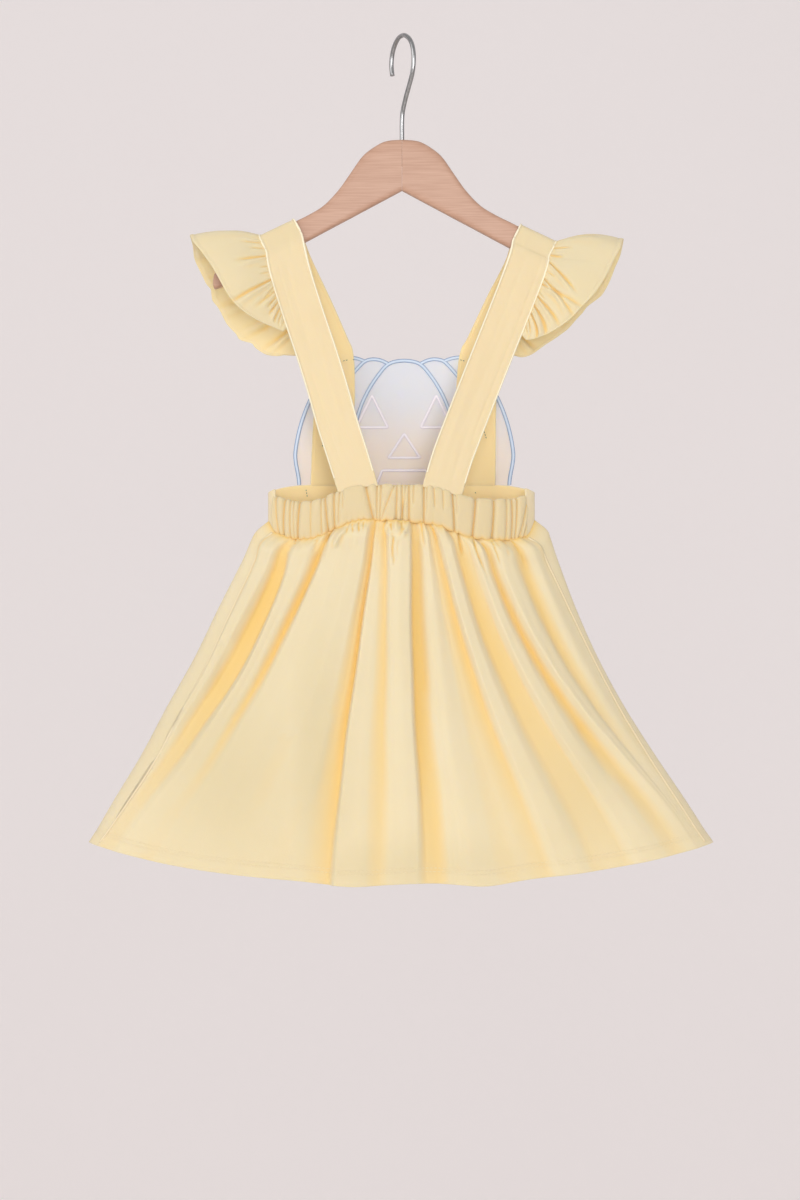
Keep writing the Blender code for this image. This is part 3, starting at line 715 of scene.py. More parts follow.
@dataclass(frozen=True)
class ThreadFinish:
    """Twisted sewing or satin thread, with fine lines across its run.

    A middle colour and half width make a satin line with a lighter middle and two darker edges.
    """

    name: str
    colour: tuple[float, float, float]
    pitch: float = 0.0004
    relief: float = 0.00006
    roughness: float = 0.45
    sheen: float = 0.12
    # how much darker the painted shade in the thread's grooves is
    deep: float = 1.35
    middle: tuple[float, float, float] | None = None
    half_width: float = 0.0017

    def make(self) -> bpy.types.Material:
        """Build the material.

        Returns:
            The thread material.
        """
        shader = Shader(self.name)
        repeats = 0.5 / self.pitch
        run = shader.bands(shader.place((repeats, repeats, 1.0), True, (0.0, 0.0, 0.35)), "Y", 0.8, 1.0)
        shader.raise_by(run, self.relief, 0.7)
        # painted shade in the grooves between the thread's lines
        tint = shader.ramp(run, 0.1, 0.8, shaded(self.colour, self.deep), self.colour)
        if self.middle:
            across = shader.part(shader.place((1.0 / self.half_width, 1.0, 1.0), True), 0)
            edge = shader.maths("ABSOLUTE", across, 0.0)
            side = shader.maths("MINIMUM", shader.maths("POWER", edge, 1.5), 1.0)
            tint = shader.mixed(side, shader.plain(self.middle), tint)
        shader.join(tint, shader.surface.inputs["Base Color"])
        shader.fixed(Roughness=self.roughness, Sheen_Weight=self.sheen)
        return shader.material


@dataclass(frozen=True)
class WoodFinish:
    """Stained flat-sawn wood: grain lines along the arm, pores, and a thin satin varnish."""

    name: str
    lean: float
    light: tuple[float, float, float] = (0.585, 0.365, 0.265)
    dark: tuple[float, float, float] = (0.44, 0.245, 0.165)

    def make(self) -> bpy.types.Material:
        """Build the material.

        Returns:
            The wood material.
        """
        shader = Shader(self.name)
        along = (0.0, self.lean, 0.0)
        rings = shader.noise(shader.place((9.0, 12.0, 95.0), False, along), 3.0, 0.6)
        fibres = shader.noise(shader.place((30.0, 500.0, 900.0), False, along), 3.0)
        pores = shader.noise(shader.place((160.0, 1500.0, 2600.0), False, along), 1.0)
        colour = shader.ramp(rings, 0.25, 0.8, self.dark, self.light)
        streaks = shader.ramp(fibres, 0.35, 0.7, self.dark, self.light)
        shader.join(shader.mixed(0.55, colour, streaks), shader.surface.inputs["Base Color"])
        shader.raise_by(shader.maths("ADD", pores, fibres), 0.00005, 0.5)
        shader.fixed(Roughness=0.48, Coat_Weight=0.12, Coat_Roughness=0.35)
        return shader.material


@dataclass(frozen=True)
class SteelFinish:
    """Drawn steel wire with faint lines along it."""

    name: str
    dark: tuple[float, float, float] = (0.30, 0.30, 0.31)
    light: tuple[float, float, float] = (0.50, 0.50, 0.51)

    def make(self) -> bpy.types.Material:
        """Build the material.

        Returns:
            The steel material.
        """
        shader = Shader(self.name)
        lines = shader.noise(shader.place((900.0, 900.0, 60.0), False), 2.0)
        colour = shader.ramp(lines, 0.3, 0.7, self.dark, self.light)
        shader.join(colour, shader.surface.inputs["Base Color"])
        shader.raise_by(lines, 0.00002, 0.4)
        shader.fixed(Metallic=1.0, Roughness=0.26)
        return shader.material


@dataclass(frozen=True)
class PlainFinish:
    """A matt painted surface with a faint mottle and an even glow, for the wall and the floor."""

    name: str
    colour: tuple[float, float, float]
    glow: float = 0.0

    def make(self) -> bpy.types.Material:
        """Build the material.

        Returns:
            The painted material.
        """
        shader = Shader(self.name)
        mottle = shader.noise(shader.place((1.3, 1.3, 1.3), False), 1.0)
        tint = shader.ramp(mottle, 0.3, 0.7, shaded(self.colour, 1.04), self.colour)
        shader.join(tint, shader.surface.inputs["Base Color"])
        shader.fixed(Roughness=0.95, Emission_Color=(*self.colour, 1.0), Emission_Strength=self.glow)
        return shader.material


@dataclass
class Palette:
    """The finished materials, one for each slot."""

    yellow: tuple[float, float, float] = (0.838, 0.710, 0.485)
    # golden painted shade for folds, seams and inside faces
    golden_shade: tuple[float, float, float] = (0.90, 0.575, 0.17)
    # duller colour: painted shade in places, plain dulling in others
    yellow_dull_and_shade: tuple[float, float, float] = (0.65, 0.55, 0.33)
    cream: tuple[float, float, float] = (0.97, 0.90, 0.70)
    white: tuple[float, float, float] = (0.72, 0.745, 0.81)
    # painted shade, darker and warmer, on the bib's lower part
    white_shade: tuple[float, float, float] = (0.84, 0.76, 0.72)
    blue: tuple[float, float, float] = (0.12, 0.25, 0.48)
    blue_middle: tuple[float, float, float] = (0.66, 0.77, 0.92)
    pale: tuple[float, float, float] = (0.74, 0.69, 0.82)
    pale_middle: tuple[float, float, float] = (0.92, 0.89, 0.96)
    green: tuple[float, float, float] = (0.14, 0.24, 0.20)

    def make(self) -> dict[Slot, bpy.types.Material]:
        """Build the materials.

        Returns:
            A material for each slot but the wood, whose grain follows its arm.
        """
        return {
            Slot.YELLOW: CottonFinish("yellow_cotton", self.yellow, self.golden_shade, self.yellow_dull_and_shade,
                                      translucency=0.38).make(),
            Slot.BIB: CottonFinish("bib_cotton", self.white, self.white_shade, self.white, sheen=0.15,
                                   translucency=0.45).make(),
            Slot.PIPING: CottonFinish("cream_piping", self.cream, self.golden_shade, self.cream,
                                      thread=0.00026).make(),
            Slot.BLUE: ThreadFinish("blue_satin_thread", self.blue, middle=self.blue_middle).make(),
            Slot.PALE: ThreadFinish("pale_satin_thread", self.pale, middle=self.pale_middle,
                                    half_width=0.0013).make(),
            Slot.THREAD: ThreadFinish("yellow_thread", self.yellow, roughness=0.6, deep=1.2).make(),
            Slot.GREEN: ThreadFinish("green_thread", self.green, roughness=0.7).make(),
            Slot.STEEL: SteelFinish("hook_steel").make(),
        }


def dress_piece(piece: bpy.types.Object, material: bpy.types.Material,
                stands_for: tuple[str, ...] = ()) -> bpy.types.Object:
    """Give a piece its finish and body, and hide the solids that it stands for.

    Args:
        piece: the mesh object.
        material: its finish.
        stands_for: names of the solids that it replaces.

    Returns:
        The same piece.
    """
    piece.data.materials.append(material)
    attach(piece, BODY)
    if stands_for:
        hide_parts(*stands_for)
    LOG.info("%s: %d faces", piece.name, len(piece.data.polygons))
    return piece


# The waist and skirt ring, shared by the cloth pieces


@dataclass(frozen=True)
class FoldTable:
    """Folds of a panel: places as shares of the half width and relief at four heights.

    A row's last value is how straight the stretch after it is, 0 for eased and 1 for straight,
    so that a stretch from a trough up to a crest can be a steep wall with sharp ends.
    """

    rows: Rows

    def places(self, down: Grid | float) -> Grid:
        """Places of all folds at a share of the way down."""
        return np.array([four_heights(row[:4], down) for row in self.rows])

    def columns(self, down: float, density: float, least: int) -> Grid:
        """Shares of the half width for a row's columns.

        Each stretch between two folds has the same number of columns in every row, so that
        columns run along the folds.

        Args:
            down: share of the way down.
            density: columns for a stretch of the whole half width.
            least: fewest columns in a stretch.

        Returns:
            Shares, in order.
        """
        widths = np.diff(self.places(0.6))
        steps = np.maximum(least, np.round(widths * density)).astype(int)
        spots = np.concatenate([k + np.arange(step) / step for k, step in enumerate(steps)])
        spots = np.append(spots, len(self.rows) - 1)
        return np.interp(spots, np.arange(len(self.rows)), self.places(down))

    def relief(self, share: Grid, down: float) -> Grid:
        """Relief at shares of the half width in one row.

        Between two folds it is a cubic whose slope at both ends is the row's straightness
        times the stretch's own slope.

        Args:
            share: shares of the half width.
            down: share of the way down.

        Returns:
            Relief in metres, outward.
        """
        places = self.places(down)
        heights = np.array([four_heights(row[4:8], down) for row in self.rows])
        total = np.zeros_like(share)
        for k in range(len(self.rows) - 1):
            step = (share - places[k]) / (places[k + 1] - places[k])
            inside = (step >= 0) & (step <= 1)
            t = np.clip(step, 0, 1)
            ease = t * t * (3 - 2 * t)
            ease = ease + self.rows[k][8] * (2 * t ** 3 - 3 * t ** 2 + t)
            total = np.where(inside, heights[k] + (heights[k + 1] - heights[k]) * ease, total)
        return total


@dataclass(frozen=True)
class Creases:
    """Soft troughs and ridges placed on a panel.

    A row is across and height of the start, the middle and the end, half width, height of
    the relief (below zero for a trough), and lean, -1 to 1, the side that is steeper.
    All in millimetres but the lean.
    """

    rows: Rows
    samples: int = 25
    start_fade: float = 0.12
    end_fade: float = 0.35

    def relief(self, across: Grid, height: Grid) -> Grid:
        """Sum of all creases at places of the panel.

        Each crease is a line bent through its three points; a place takes the crease's height
        times e to the minus square of its distance over the half width, faded to both ends.

        Args:
            across: distances from the middle, metres.
            height: heights, metres.

        Returns:
            Relief in metres, outward.
        """
        total = np.zeros_like(across)
        for row in self.rows:
            x0, z0, x1, z1, x2, z2, wide, high, lean = row
            line = curve_through(((x0, z0), (x1, z1), (x2, z2)), self.samples) * 0.001
            reach = 4 * wide * 0.001
            near = ((across > line[:, 0].min() - reach) & (across < line[:, 0].max() + reach)
                    & (height > line[:, 1].min() - reach) & (height < line[:, 1].max() + reach))
            if not near.any():
                continue
            place = np.stack([across[near], height[near]], axis=-1)
            gap = place[:, None] - line[None]
            far = np.sum(gap ** 2, axis=2)
            nearest = np.argmin(far, axis=1)
            ahead = unit(np.gradient(line, axis=0))[nearest]
            offset = gap[np.arange(len(place)), nearest]
            sideways = offset[:, 0] * -ahead[:, 1] + offset[:, 1] * ahead[:, 0]
            onward = np.sum(offset * ahead, axis=1)
            along = nearest / (self.samples - 1)
            width = wide * 0.001 * (1 + lean * np.tanh(sideways / (wide * 0.001)))
            ends = np.where((nearest == 0) | (nearest == self.samples - 1), np.abs(onward), 0.0)
            fade = smooth(along / self.start_fade) * smooth((1 - along) / self.end_fade)
            fade = fade * np.exp(-(ends / (wide * 0.001)) ** 2)
            total[near] += high * 0.001 * fade * np.exp(-(sideways / width) ** 2)
        return total


@dataclass(frozen=True)
class WaistRing:
    """Oval of the waist and the skirt under it, with the seam and hem lines."""

    waist_half_depth: float = 0.027
    hem_half_depth: float = 0.055
    hem_low: float = -0.7300
    hem_rise: float = 0.031
    hem_curve: float = 2.4
    hem_swells: Rows = ((-0.16, 0.12, 0.0030), (0.27, 0.10, 0.0036))
    front_seam: float = -0.4300
    front_top: float = -0.3885
    front_dip: float = 0.0075
    side_reach: float = 0.9
    ring_limit: float = 0.99
    seam_places: tuple[tuple[float, ...], tuple[float, ...]] = (
        # right and left side seam as shares of the half width at four heights
        (0.930, 0.980, 0.980, 0.978),
        (-0.950, -0.940, -0.940, -0.970),
    )
    sides: Rows = (
        # down, left, right
        (0.000, 0.1165, 0.1155),
        (0.030, 0.1265, 0.1260),
        (0.060, 0.1314, 0.1296),
        (0.125, 0.1392, 0.1357),
        (0.275, 0.1603, 0.1514),
        (0.425, 0.1805, 0.1701),
        (0.575, 0.2040, 0.1927),
        (0.725, 0.2262, 0.2192),
        (0.875, 0.2514, 0.2475),
        (1.000, 0.2714, 0.2697),
    )
    band: Rows = (
        # across, top edge, seam with the skirt
        (-0.116, -0.3950, -0.4200),
        (-0.106, -0.4010, -0.4325),
        (-0.080, -0.4050, -0.4363),
        (-0.055, -0.3960, -0.4265),
        (-0.032, -0.3910, -0.4200),
        (0.005, -0.3908, -0.4215),
        (0.028, -0.3925, -0.4240),
        (0.058, -0.4015, -0.4345),
        (0.085, -0.4030, -0.4372),
        (0.107, -0.3997, -0.4335),
        (0.116, -0.3945, -0.4180),
    )

    pulls: tuple[float, ...] = (-106.8, -102.5, -96.4, -90.4, -84.0, -78.4, -72.3, -63.8, -58.1, -47.2, -42.6,
                                -37.2, -32.9, -25.0, -13.5, -5.2, 0.4, 6.0, 16.3, 26.5, 34.5, 45.1, 48.9,
                                60.7, 68.5, 77.5, 83.5, 89.5, 94.7, 101.6)
    pull: float = 0.0016
    pull_width: float = 0.0017

    def edges(self, down: Grid | float) -> tuple[Grid, Grid]:
        """The waist oval at one level.

        Args:
            down: share of the way down the band.

        Returns:
            Its middle and its half width.
        """
        table = curve_through(self.sides, 91)
        left = np.interp(down, table[:, 0], table[:, 1])
        right = np.interp(down, table[:, 0], table[:, 2])
        return (right - left) / 2, (right + left) / 2

    def half_depth(self, down: Grid | float) -> Grid:
        """Half depth of the oval a share of the way down."""
        return self.waist_half_depth + (self.hem_half_depth - self.waist_half_depth) * down

    def band_line(self, across: Grid, column: int) -> Grid:
        """Height of one edge of the back waistband, on a smooth line.

        The seam is pulled up at each gather and hangs a little between them.

        Args:
            across: distances from the middle.
            column: 1 for the top edge, 2 for the seam with the skirt.

        Returns:
            Heights.
        """
        table = curve_through(self.band, 201)
        height = np.interp(across, table[:, 0], table[:, column])
        if column == 2:
            gaps = np.abs(np.asarray(across)[..., None] - np.array(self.pulls) * 0.001)
            height = height + self.pull * (np.exp(-gaps / self.pull_width).max(axis=-1) - 0.3)
        return height

    def back_seam(self, share: Grid) -> Grid:
        """Height of the back waist seam at a share of the half width."""
        middle, half = self.edges(0.0)
        return self.band_line(middle + share * half, 2)

    def front_seam_line(self, turn: Grid) -> Grid:
        """Height of the front waist seam, meeting the back one at both sides.

        Args:
            turn: angles round the waist.

        Returns:
            Heights.
        """
        share = np.cos(turn)
        side = smooth((np.abs(share) - self.side_reach) / (1 - self.side_reach))
        level = self.front_seam + side * (self.back_seam(share) - self.front_seam)
        return np.where(np.sin(turn) > 0, self.back_seam(share), level)

    def front_edge(self, share: Grid) -> Grid:
        """Height of the front waistband's top edge."""
        return self.front_top - self.front_dip * np.abs(share) ** 8

    def hem(self, share: Grid) -> Grid:
        """Height of the hem.

        Args:
            share: places across, as shares of the half width.

        Returns:
            Heights.
        """
        height = self.hem_low + self.hem_rise * np.abs(share) ** self.hem_curve
        for place, spread, drop in self.hem_swells:
            height = height - drop * np.exp(-((share - place) / spread) ** 2)
        return height

    def seam_turns(self, down: float) -> tuple[float, float]:
        """Turns of the right and left side seams, both on the back."""
        right, left = self.seam_places
        return math.acos(four_heights(right, down)), math.acos(four_heights(left, down))

    def allowance(self, down: float) -> float:
        """Half of the seam gap as a turn at the side seam."""
        return SEAM_GAP / 2 / (self.half_depth(down) * self.side_reach)

    def point(self, turn: Grid, down: Grid | float, height: Grid, out: Grid) -> tuple[Grid, Grid]:
        """Points of the oval.

        Across is the middle plus half width times the cosine, depth is minus half depth times
        the sine, and both go out along the oval's own normal by the relief.

        Args:
            turn: 0 at the right side, a quarter turn at the back.
            down: share of the way down.
            height: heights of the points.
            out: relief outward.

        Returns:
            Points, and unit ways inward.
        """
        middle, half = self.edges(down)
        depth = self.half_depth(down)
        normal = unit(np.stack([np.cos(turn) / half, -np.sin(turn) / depth], axis=-1))
        across = middle + half * np.cos(turn) + out * normal[..., 0]
        deep = -depth * np.sin(turn) + out * normal[..., 1]
        inward = np.stack([-normal[..., 0], -normal[..., 1], np.zeros_like(turn)], axis=-1)
        return np.stack([across, deep, height], axis=-1), inward

    def waist_depth(self, across: Grid, side: int) -> Grid:
        """Depth of the waist's outer face.

        Args:
            across: distances from the middle.
            side: -1 at the back, 1 at the front.

        Returns:
            Depths.
        """
        middle, half = self.edges(0.0)
        share = np.clip((across - middle) / half, -self.ring_limit, self.ring_limit)
        return side * self.waist_half_depth * np.sqrt(1 - share ** 2)


def pushed_in(outer: Grid, inward: Grid, wall: float) -> Grid:
    """The inner face of a wall: each point a wall further in, more where the face is steep.

    Args:
        outer: points of the outer face.
        inward: unit ways inward.
        wall: the wall's thickness across the face.

    Returns:
        Points of the inner face.
    """
    slope = np.abs(np.sum(grid_normals(outer) * inward, axis=2, keepdims=True))
    return outer + inward * wall / np.maximum(slope, 1 / 1.9)


# Skirt


@dataclass
class Skirt:
    """Gathered skirt: a back panel with deep folds and a softer front panel."""

    ring: WaistRing
    wall: float = 0.0010
    density: float = 150.0
    least: int = 5
    rows: int = 122
    crowding: float = 1.25
    front_columns: int = 240
    hem_rows: tuple[float, ...] = (0.0105, 0.0128)
    hem_flare: float = 0.0009
    back_flat: tuple[float, float] = (0.60, 0.33)
    front_flat: tuple[float, float] = (0.62, 0.33)
    back_folds: Rows = (
        # waist, upper, lower, hem, relief at waist, upper, lower, hem, straightness after
        (-0.950, -0.940, -0.940, -0.970, 0.0000, 0.0000, 0.0000, 0.0000, 0.8),
        (-0.925, -0.925, -0.946, -0.967, 0.0010, 0.0028, 0.0011, 0.0000, 0.0),
        (-0.855, -0.888, -0.932, -0.962, 0.0018, 0.0022, 0.0006, -0.0002, 0.8),
        (-0.815, -0.850, -0.906, -0.950, -0.0030, -0.0078, -0.0034, -0.0004, 0.0),
        (-0.785, -0.770, -0.860, -0.925, -0.0030, -0.0070, -0.0030, -0.0002, 0.8),
        (-0.735, -0.732, -0.825, -0.900, 0.0022, 0.0050, 0.0026, 0.0010, 0.0),
        (-0.600, -0.690, -0.770, -0.850, 0.0020, 0.0030, 0.0020, 0.0012, 0.0),
        (-0.505, -0.632, -0.735, -0.800, -0.0045, -0.0036, 0.0006, 0.0008, 0.6),
        (-0.468, -0.588, -0.692, -0.760, 0.0040, 0.0052, 0.0036, 0.0022, 0.0),
        (-0.370, -0.470, -0.580, -0.660, 0.0046, 0.0048, 0.0038, 0.0020, 0.6),
        (-0.300, -0.345, -0.430, -0.510, 0.0038, 0.0022, 0.0014, 0.0004, 0.8),
        (-0.235, -0.270, -0.330, -0.390, 0.0028, -0.0006, -0.0022, -0.0012, 0.4),
        (-0.207, -0.222, -0.262, -0.296, -0.0028, -0.0046, -0.0046, -0.0020, 0.3),
        (-0.192, -0.199, -0.222, -0.228, -0.0040, -0.0078, -0.0068, -0.0028, 0.9),
        (-0.175, -0.183, -0.206, -0.209, -0.0010, 0.0014, 0.0036, 0.0032, 0.0),
        (-0.148, -0.135, -0.148, -0.140, -0.0020, 0.0010, 0.0029, 0.0036, 0.0),
        (-0.118, -0.062, -0.058, -0.070, -0.0040, -0.0016, -0.0004, 0.0010, 0.7),
        (-0.092, -0.032, -0.022, -0.025, 0.0030, 0.0046, 0.0038, 0.0024, 0.0),
        (-0.030, 0.020, 0.030, 0.008, 0.0048, 0.0062, 0.0050, 0.0019, 0.0),
        (0.052, 0.070, 0.072, 0.050, 0.0035, 0.0052, 0.0038, 0.0006, 0.7),
        (0.072, 0.090, 0.090, 0.080, -0.0032, -0.0058, -0.0050, -0.0021, 0.0),
        (0.100, 0.128, 0.130, 0.118, -0.0036, -0.0060, -0.0054, -0.0026, 0.2),
        (0.135, 0.190, 0.190, 0.180, -0.0002, 0.0004, 0.0014, 0.0020, 0.0),
        (0.160, 0.215, 0.225, 0.230, 0.0012, 0.0010, 0.0029, 0.0034, 0.0),
        (0.182, 0.300, 0.358, 0.375, -0.0030, -0.0030, -0.0023, -0.0009, 0.0),
        (0.212, 0.362, 0.438, 0.465, -0.0039, -0.0055, -0.0041, -0.0017, 0.8),
        (0.245, 0.390, 0.474, 0.512, 0.0024, 0.0038, 0.0028, 0.0017, 0.0),
        (0.300, 0.435, 0.522, 0.565, 0.0029, 0.0030, 0.0027, 0.0017, 0.0),
        (0.350, 0.498, 0.598, 0.625, -0.0033, -0.0050, -0.0033, -0.0010, 0.0),
        (0.430, 0.575, 0.684, 0.715, -0.0011, -0.0042, -0.0031, -0.0011, 0.7),
        (0.475, 0.610, 0.714, 0.765, 0.0026, 0.0034, 0.0023, 0.0014, 0.0),
        (0.508, 0.648, 0.756, 0.808, 0.0022, 0.0026, 0.0022, 0.0013, 0.0),
        (0.565, 0.712, 0.838, 0.885, -0.0033, -0.0050, -0.0036, -0.0008, 0.8),
        (0.632, 0.754, 0.884, 0.940, 0.0029, 0.0044, 0.0028, 0.0007, 0.0),
        (0.700, 0.800, 0.905, 0.952, 0.0024, 0.0028, 0.0016, 0.0003, 0.0),
        (0.785, 0.858, 0.925, 0.961, -0.0029, -0.0030, -0.0005, 0.0000, 0.3),
        (0.865, 0.925, 0.955, 0.970, 0.0020, 0.0022, 0.0006, 0.0000, 0.0),
        (0.930, 0.980, 0.980, 0.978, 0.0000, 0.0000, 0.0000, 0.0000, 0.0),
    )
    front_folds: Rows = (
        # waist, upper, lower, hem, relief at waist, upper, lower, hem, straightness after
        (-0.960, -0.960, -0.960, -0.960, 0.0000, 0.0000, 0.0000, 0.0000, 0.0),
        (-0.740, -0.780, -0.800, -0.820, 0.0000, -0.0020, -0.0040, -0.0050, 0.0),
        (-0.540, -0.580, -0.620, -0.640, 0.0000, 0.0020, 0.0040, 0.0060, 0.0),
        (-0.360, -0.400, -0.430, -0.450, 0.0000, -0.0015, -0.0040, -0.0060, 0.3),
        (-0.150, -0.190, -0.230, -0.250, 0.0000, 0.0020, 0.0050, 0.0065, 0.0),
        (0.040, 0.020, -0.010, -0.020, 0.0000, -0.0020, -0.0045, -0.0060, 0.3),
        (0.200, 0.210, 0.220, 0.220, 0.0000, 0.0020, 0.0045, 0.0060, 0.0),
        (0.370, 0.400, 0.420, 0.430, 0.0000, -0.0015, -0.0040, -0.0055, 0.3),
        (0.560, 0.600, 0.620, 0.640, 0.0000, 0.0015, 0.0040, 0.0055, 0.0),
        (0.760, 0.800, 0.820, 0.830, 0.0000, -0.0015, -0.0035, -0.0045, 0.0),
        (0.960, 0.960, 0.960, 0.960, 0.0000, 0.0000, 0.0000, 0.0000, 0.0),
    )
    back_creases: Rows = (
        # start across and height, middle, end, half width, relief, lean; millimetres
        (-92.7, -434.6, -92.4, -438.0, -91.9, -443.0, 1.0, -1.1, 0.0),
        (-72.3, -436.3, -74.6, -441.5, -77.5, -449.0, 1.6, -1.0, 0.3),
        (-66.3, -431.3, -70.5, -442.0, -77.1, -456.0, 2.0, 1.2, 0.2),
        (-63.0, -430.0, -64.6, -442.0, -69.0, -458.0, 1.3, -1.6, 0.0),
        (-53.5, -427.0, -55.0, -434.0, -59.0, -446.0, 2.4, 1.0, 0.0),
        (-47.2, -425.6, -46.8, -428.4, -46.8, -433.0, 0.9, -0.7, 0.0),
        (-42.6, -423.4, -42.2, -427.0, -41.6, -432.0, 0.9, -0.9, 0.0),
        (-37.2, -421.6, -36.9, -426.0, -36.4, -431.5, 0.9, -1.1, 0.0),
        (-32.9, -421.0, -32.9, -425.0, -32.7, -430.0, 0.8, -0.8, 0.0),
        (-7.1, -433.8, -8.2, -446.8, -6.0, -461.0, 1.2, -1.5, 0.2),
        (-3.5, -436.3, -4.0, -445.0, -4.3, -456.0, 1.2, -0.7, 0.0),
        (4.7, -422.5, 7.0, -430.0, 9.4, -440.0, 1.2, -1.1, 0.0),
        (16.3, -420.8, 17.4, -431.0, 19.2, -446.0, 1.3, -1.3, 0.0),
        (26.5, -426.0, 28.5, -432.0, 31.0, -442.0, 1.2, -0.9, 0.0),
        (38.0, -428.5, 39.5, -434.0, 43.0, -444.0, 1.4, -0.6, 0.0),
        (48.9, -429.4, 50.0, -440.0, 53.0, -453.0, 1.2, -1.9, 0.0),
        (61.1, -433.7, 63.5, -447.0, 74.0, -470.0, 1.2, -1.7, 0.3),
        (66.0, -437.0, 70.0, -448.0, 80.0, -468.0, 2.4, 0.9, 0.0),
        (76.6, -436.3, 80.0, -446.0, 87.0, -465.0, 1.0, -1.5, 0.2),
        (79.2, -437.1, 82.0, -441.0, 85.0, -446.5, 0.8, -0.9, 0.0),
        (88.7, -437.0, 90.0, -445.0, 91.6, -456.0, 1.4, -0.7, 0.0),
        (95.1, -436.3, 102.0, -447.0, 114.0, -470.0, 1.6, -1.7, 0.3),
        (-12.9, -421.6, -14.0, -429.0, -9.5, -435.7, 1.3, 2.0, 0.0),
        (5.1, -420.8, 3.8, -428.5, -1.7, -435.7, 1.3, 2.0, 0.0),
        (-5.2, -419.0, -5.0, -424.0, -5.0, -432.0, 2.8, 1.6, 0.0),
        (-9.5, -422.5, -9.6, -425.5, -8.4, -429.7, 0.9, -1.4, 0.0),
        (0.0, -422.0, -0.2, -425.0, -1.2, -429.0, 0.9, -1.4, 0.0),
        (-150.0, -520.0, -158.0, -545.0, -170.0, -575.0, 3.0, -0.8, 0.0),
        (-95.0, -600.0, -112.0, -640.0, -130.0, -680.0, 15.0, -0.5, 0.0),
        (-60.0, -580.0, -70.0, -620.0, -84.0, -665.0, 8.0, 0.8, 0.0),
        (20.0, -560.0, 24.0, -620.0, 26.0, -690.0, 6.0, 0.8, 0.0),
        (150.0, -590.0, 168.0, -625.0, 186.0, -655.0, 7.0, -0.8, 0.0),
        (-204.0, -606.0, -211.0, -619.0, -220.0, -633.0, 1.6, -1.4, 0.0),
        (-208.0, -604.0, -215.5, -616.0, -222.0, -626.0, 1.2, 1.0, 0.0),
        (-57.7, -444.2, -52.0, -432.0, -44.0, -426.6, 1.6, 1.3, 0.0),
        (-46.0, -427.0, -35.0, -425.6, -27.5, -431.0, 1.6, 1.2, 0.0),
    )
    front_creases: Rows = (
        # start across and height, middle, end, half width, relief, lean; millimetres
        (-98.0, -432.0, -101.0, -444.0, -107.0, -462.0, 1.4, -1.2, 0.2),
        (-86.0, -431.0, -87.0, -440.0, -91.0, -452.0, 1.2, -0.9, 0.0),
        (-71.0, -430.5, -74.0, -446.0, -80.0, -470.0, 1.8, -1.5, -0.2),
        (-60.0, -430.5, -60.5, -437.0, -62.0, -446.0, 1.0, -0.8, 0.0),
        (-47.0, -430.5, -48.0, -443.0, -52.0, -463.0, 1.5, -1.3, 0.2),
        (-35.0, -430.5, -36.0, -438.0, -37.5, -448.0, 1.1, -0.8, 0.0),
        (-19.0, -430.5, -20.0, -446.0, -22.0, -471.0, 1.7, -1.4, 0.2),
        (-8.0, -430.5, -8.0, -437.0, -9.0, -446.0, 1.0, -0.7, 0.0),
        (4.0, -430.5, 4.5, -441.0, 5.0, -457.0, 1.4, -1.1, 0.0),
        (19.0, -430.5, 20.0, -437.0, 21.5, -447.0, 1.1, -0.9, 0.0),
        (31.0, -430.5, 33.0, -445.0, 37.0, -468.0, 1.7, -1.4, -0.2),
        (44.0, -430.5, 45.0, -438.0, 47.0, -448.0, 1.1, -0.7, 0.0),
        (56.0, -430.5, 59.0, -444.0, 64.0, -465.0, 1.5, -1.2, 0.0),
        (70.0, -430.5, 72.0, -438.0, 75.0, -448.0, 1.1, -0.8, 0.0),
        (81.0, -431.0, 85.0, -444.0, 92.0, -466.0, 1.6, -1.3, 0.2),
        (97.0, -432.0, 100.0, -441.0, 105.0, -453.0, 1.2, -0.9, 0.0),
    )
    shade_patches: Rows = (
        # across, height, half width, half height, amount of the duller colour as painted shade; millimetres
        (-150.0, -640.0, 62.0, 95.0, 0.50),
        (-72.0, -640.0, 26.0, 105.0, 0.58),
        (-10.0, -716.0, 130.0, 24.0, 0.42),
        (150.0, -650.0, 36.0, 70.0, 0.30),
    )
    seam_cord: float = 0.0011
    waist_hold: float = 0.70
    waist_open: float = 0.035
    puff: float = 0.0026
    puff_place: float = 0.040
    puff_spread: float = 0.030
    groove: float = 0.0014
    groove_length: float = 0.008
    fold_reach: float = 0.026
    fold_full: float = 0.0062
    seam_shade: float = 0.010
    fine_reach: float = 0.0040
    fine_full: float = 0.0009
    fine_length: float = 0.15
    side_ease: float = 0.06
    seam_points: int = 400
    stitch_points: int = 900
    stitch: tuple[float, float, float] = (0.0036, 0.0026, 0.00024)
    area_share: float = 0.72
    crease_scale: float = 1.7
    inside_shade: float = 0.35

    def opened(self, down: float) -> float:
        """How far folds have opened under the waist seam, from waist_hold to 1."""
        return self.waist_hold + (1 - self.waist_hold) * float(smooth(down / self.waist_open))

    def puffed(self, down: float) -> float:
        """Cloth standing out under the waist seam as a bell curve, and its dip at the seam."""
        swell = self.puff * math.exp(-((down - self.puff_place) / self.puff_spread) ** 2)
        return swell - self.groove * math.exp(-down / self.groove_length)

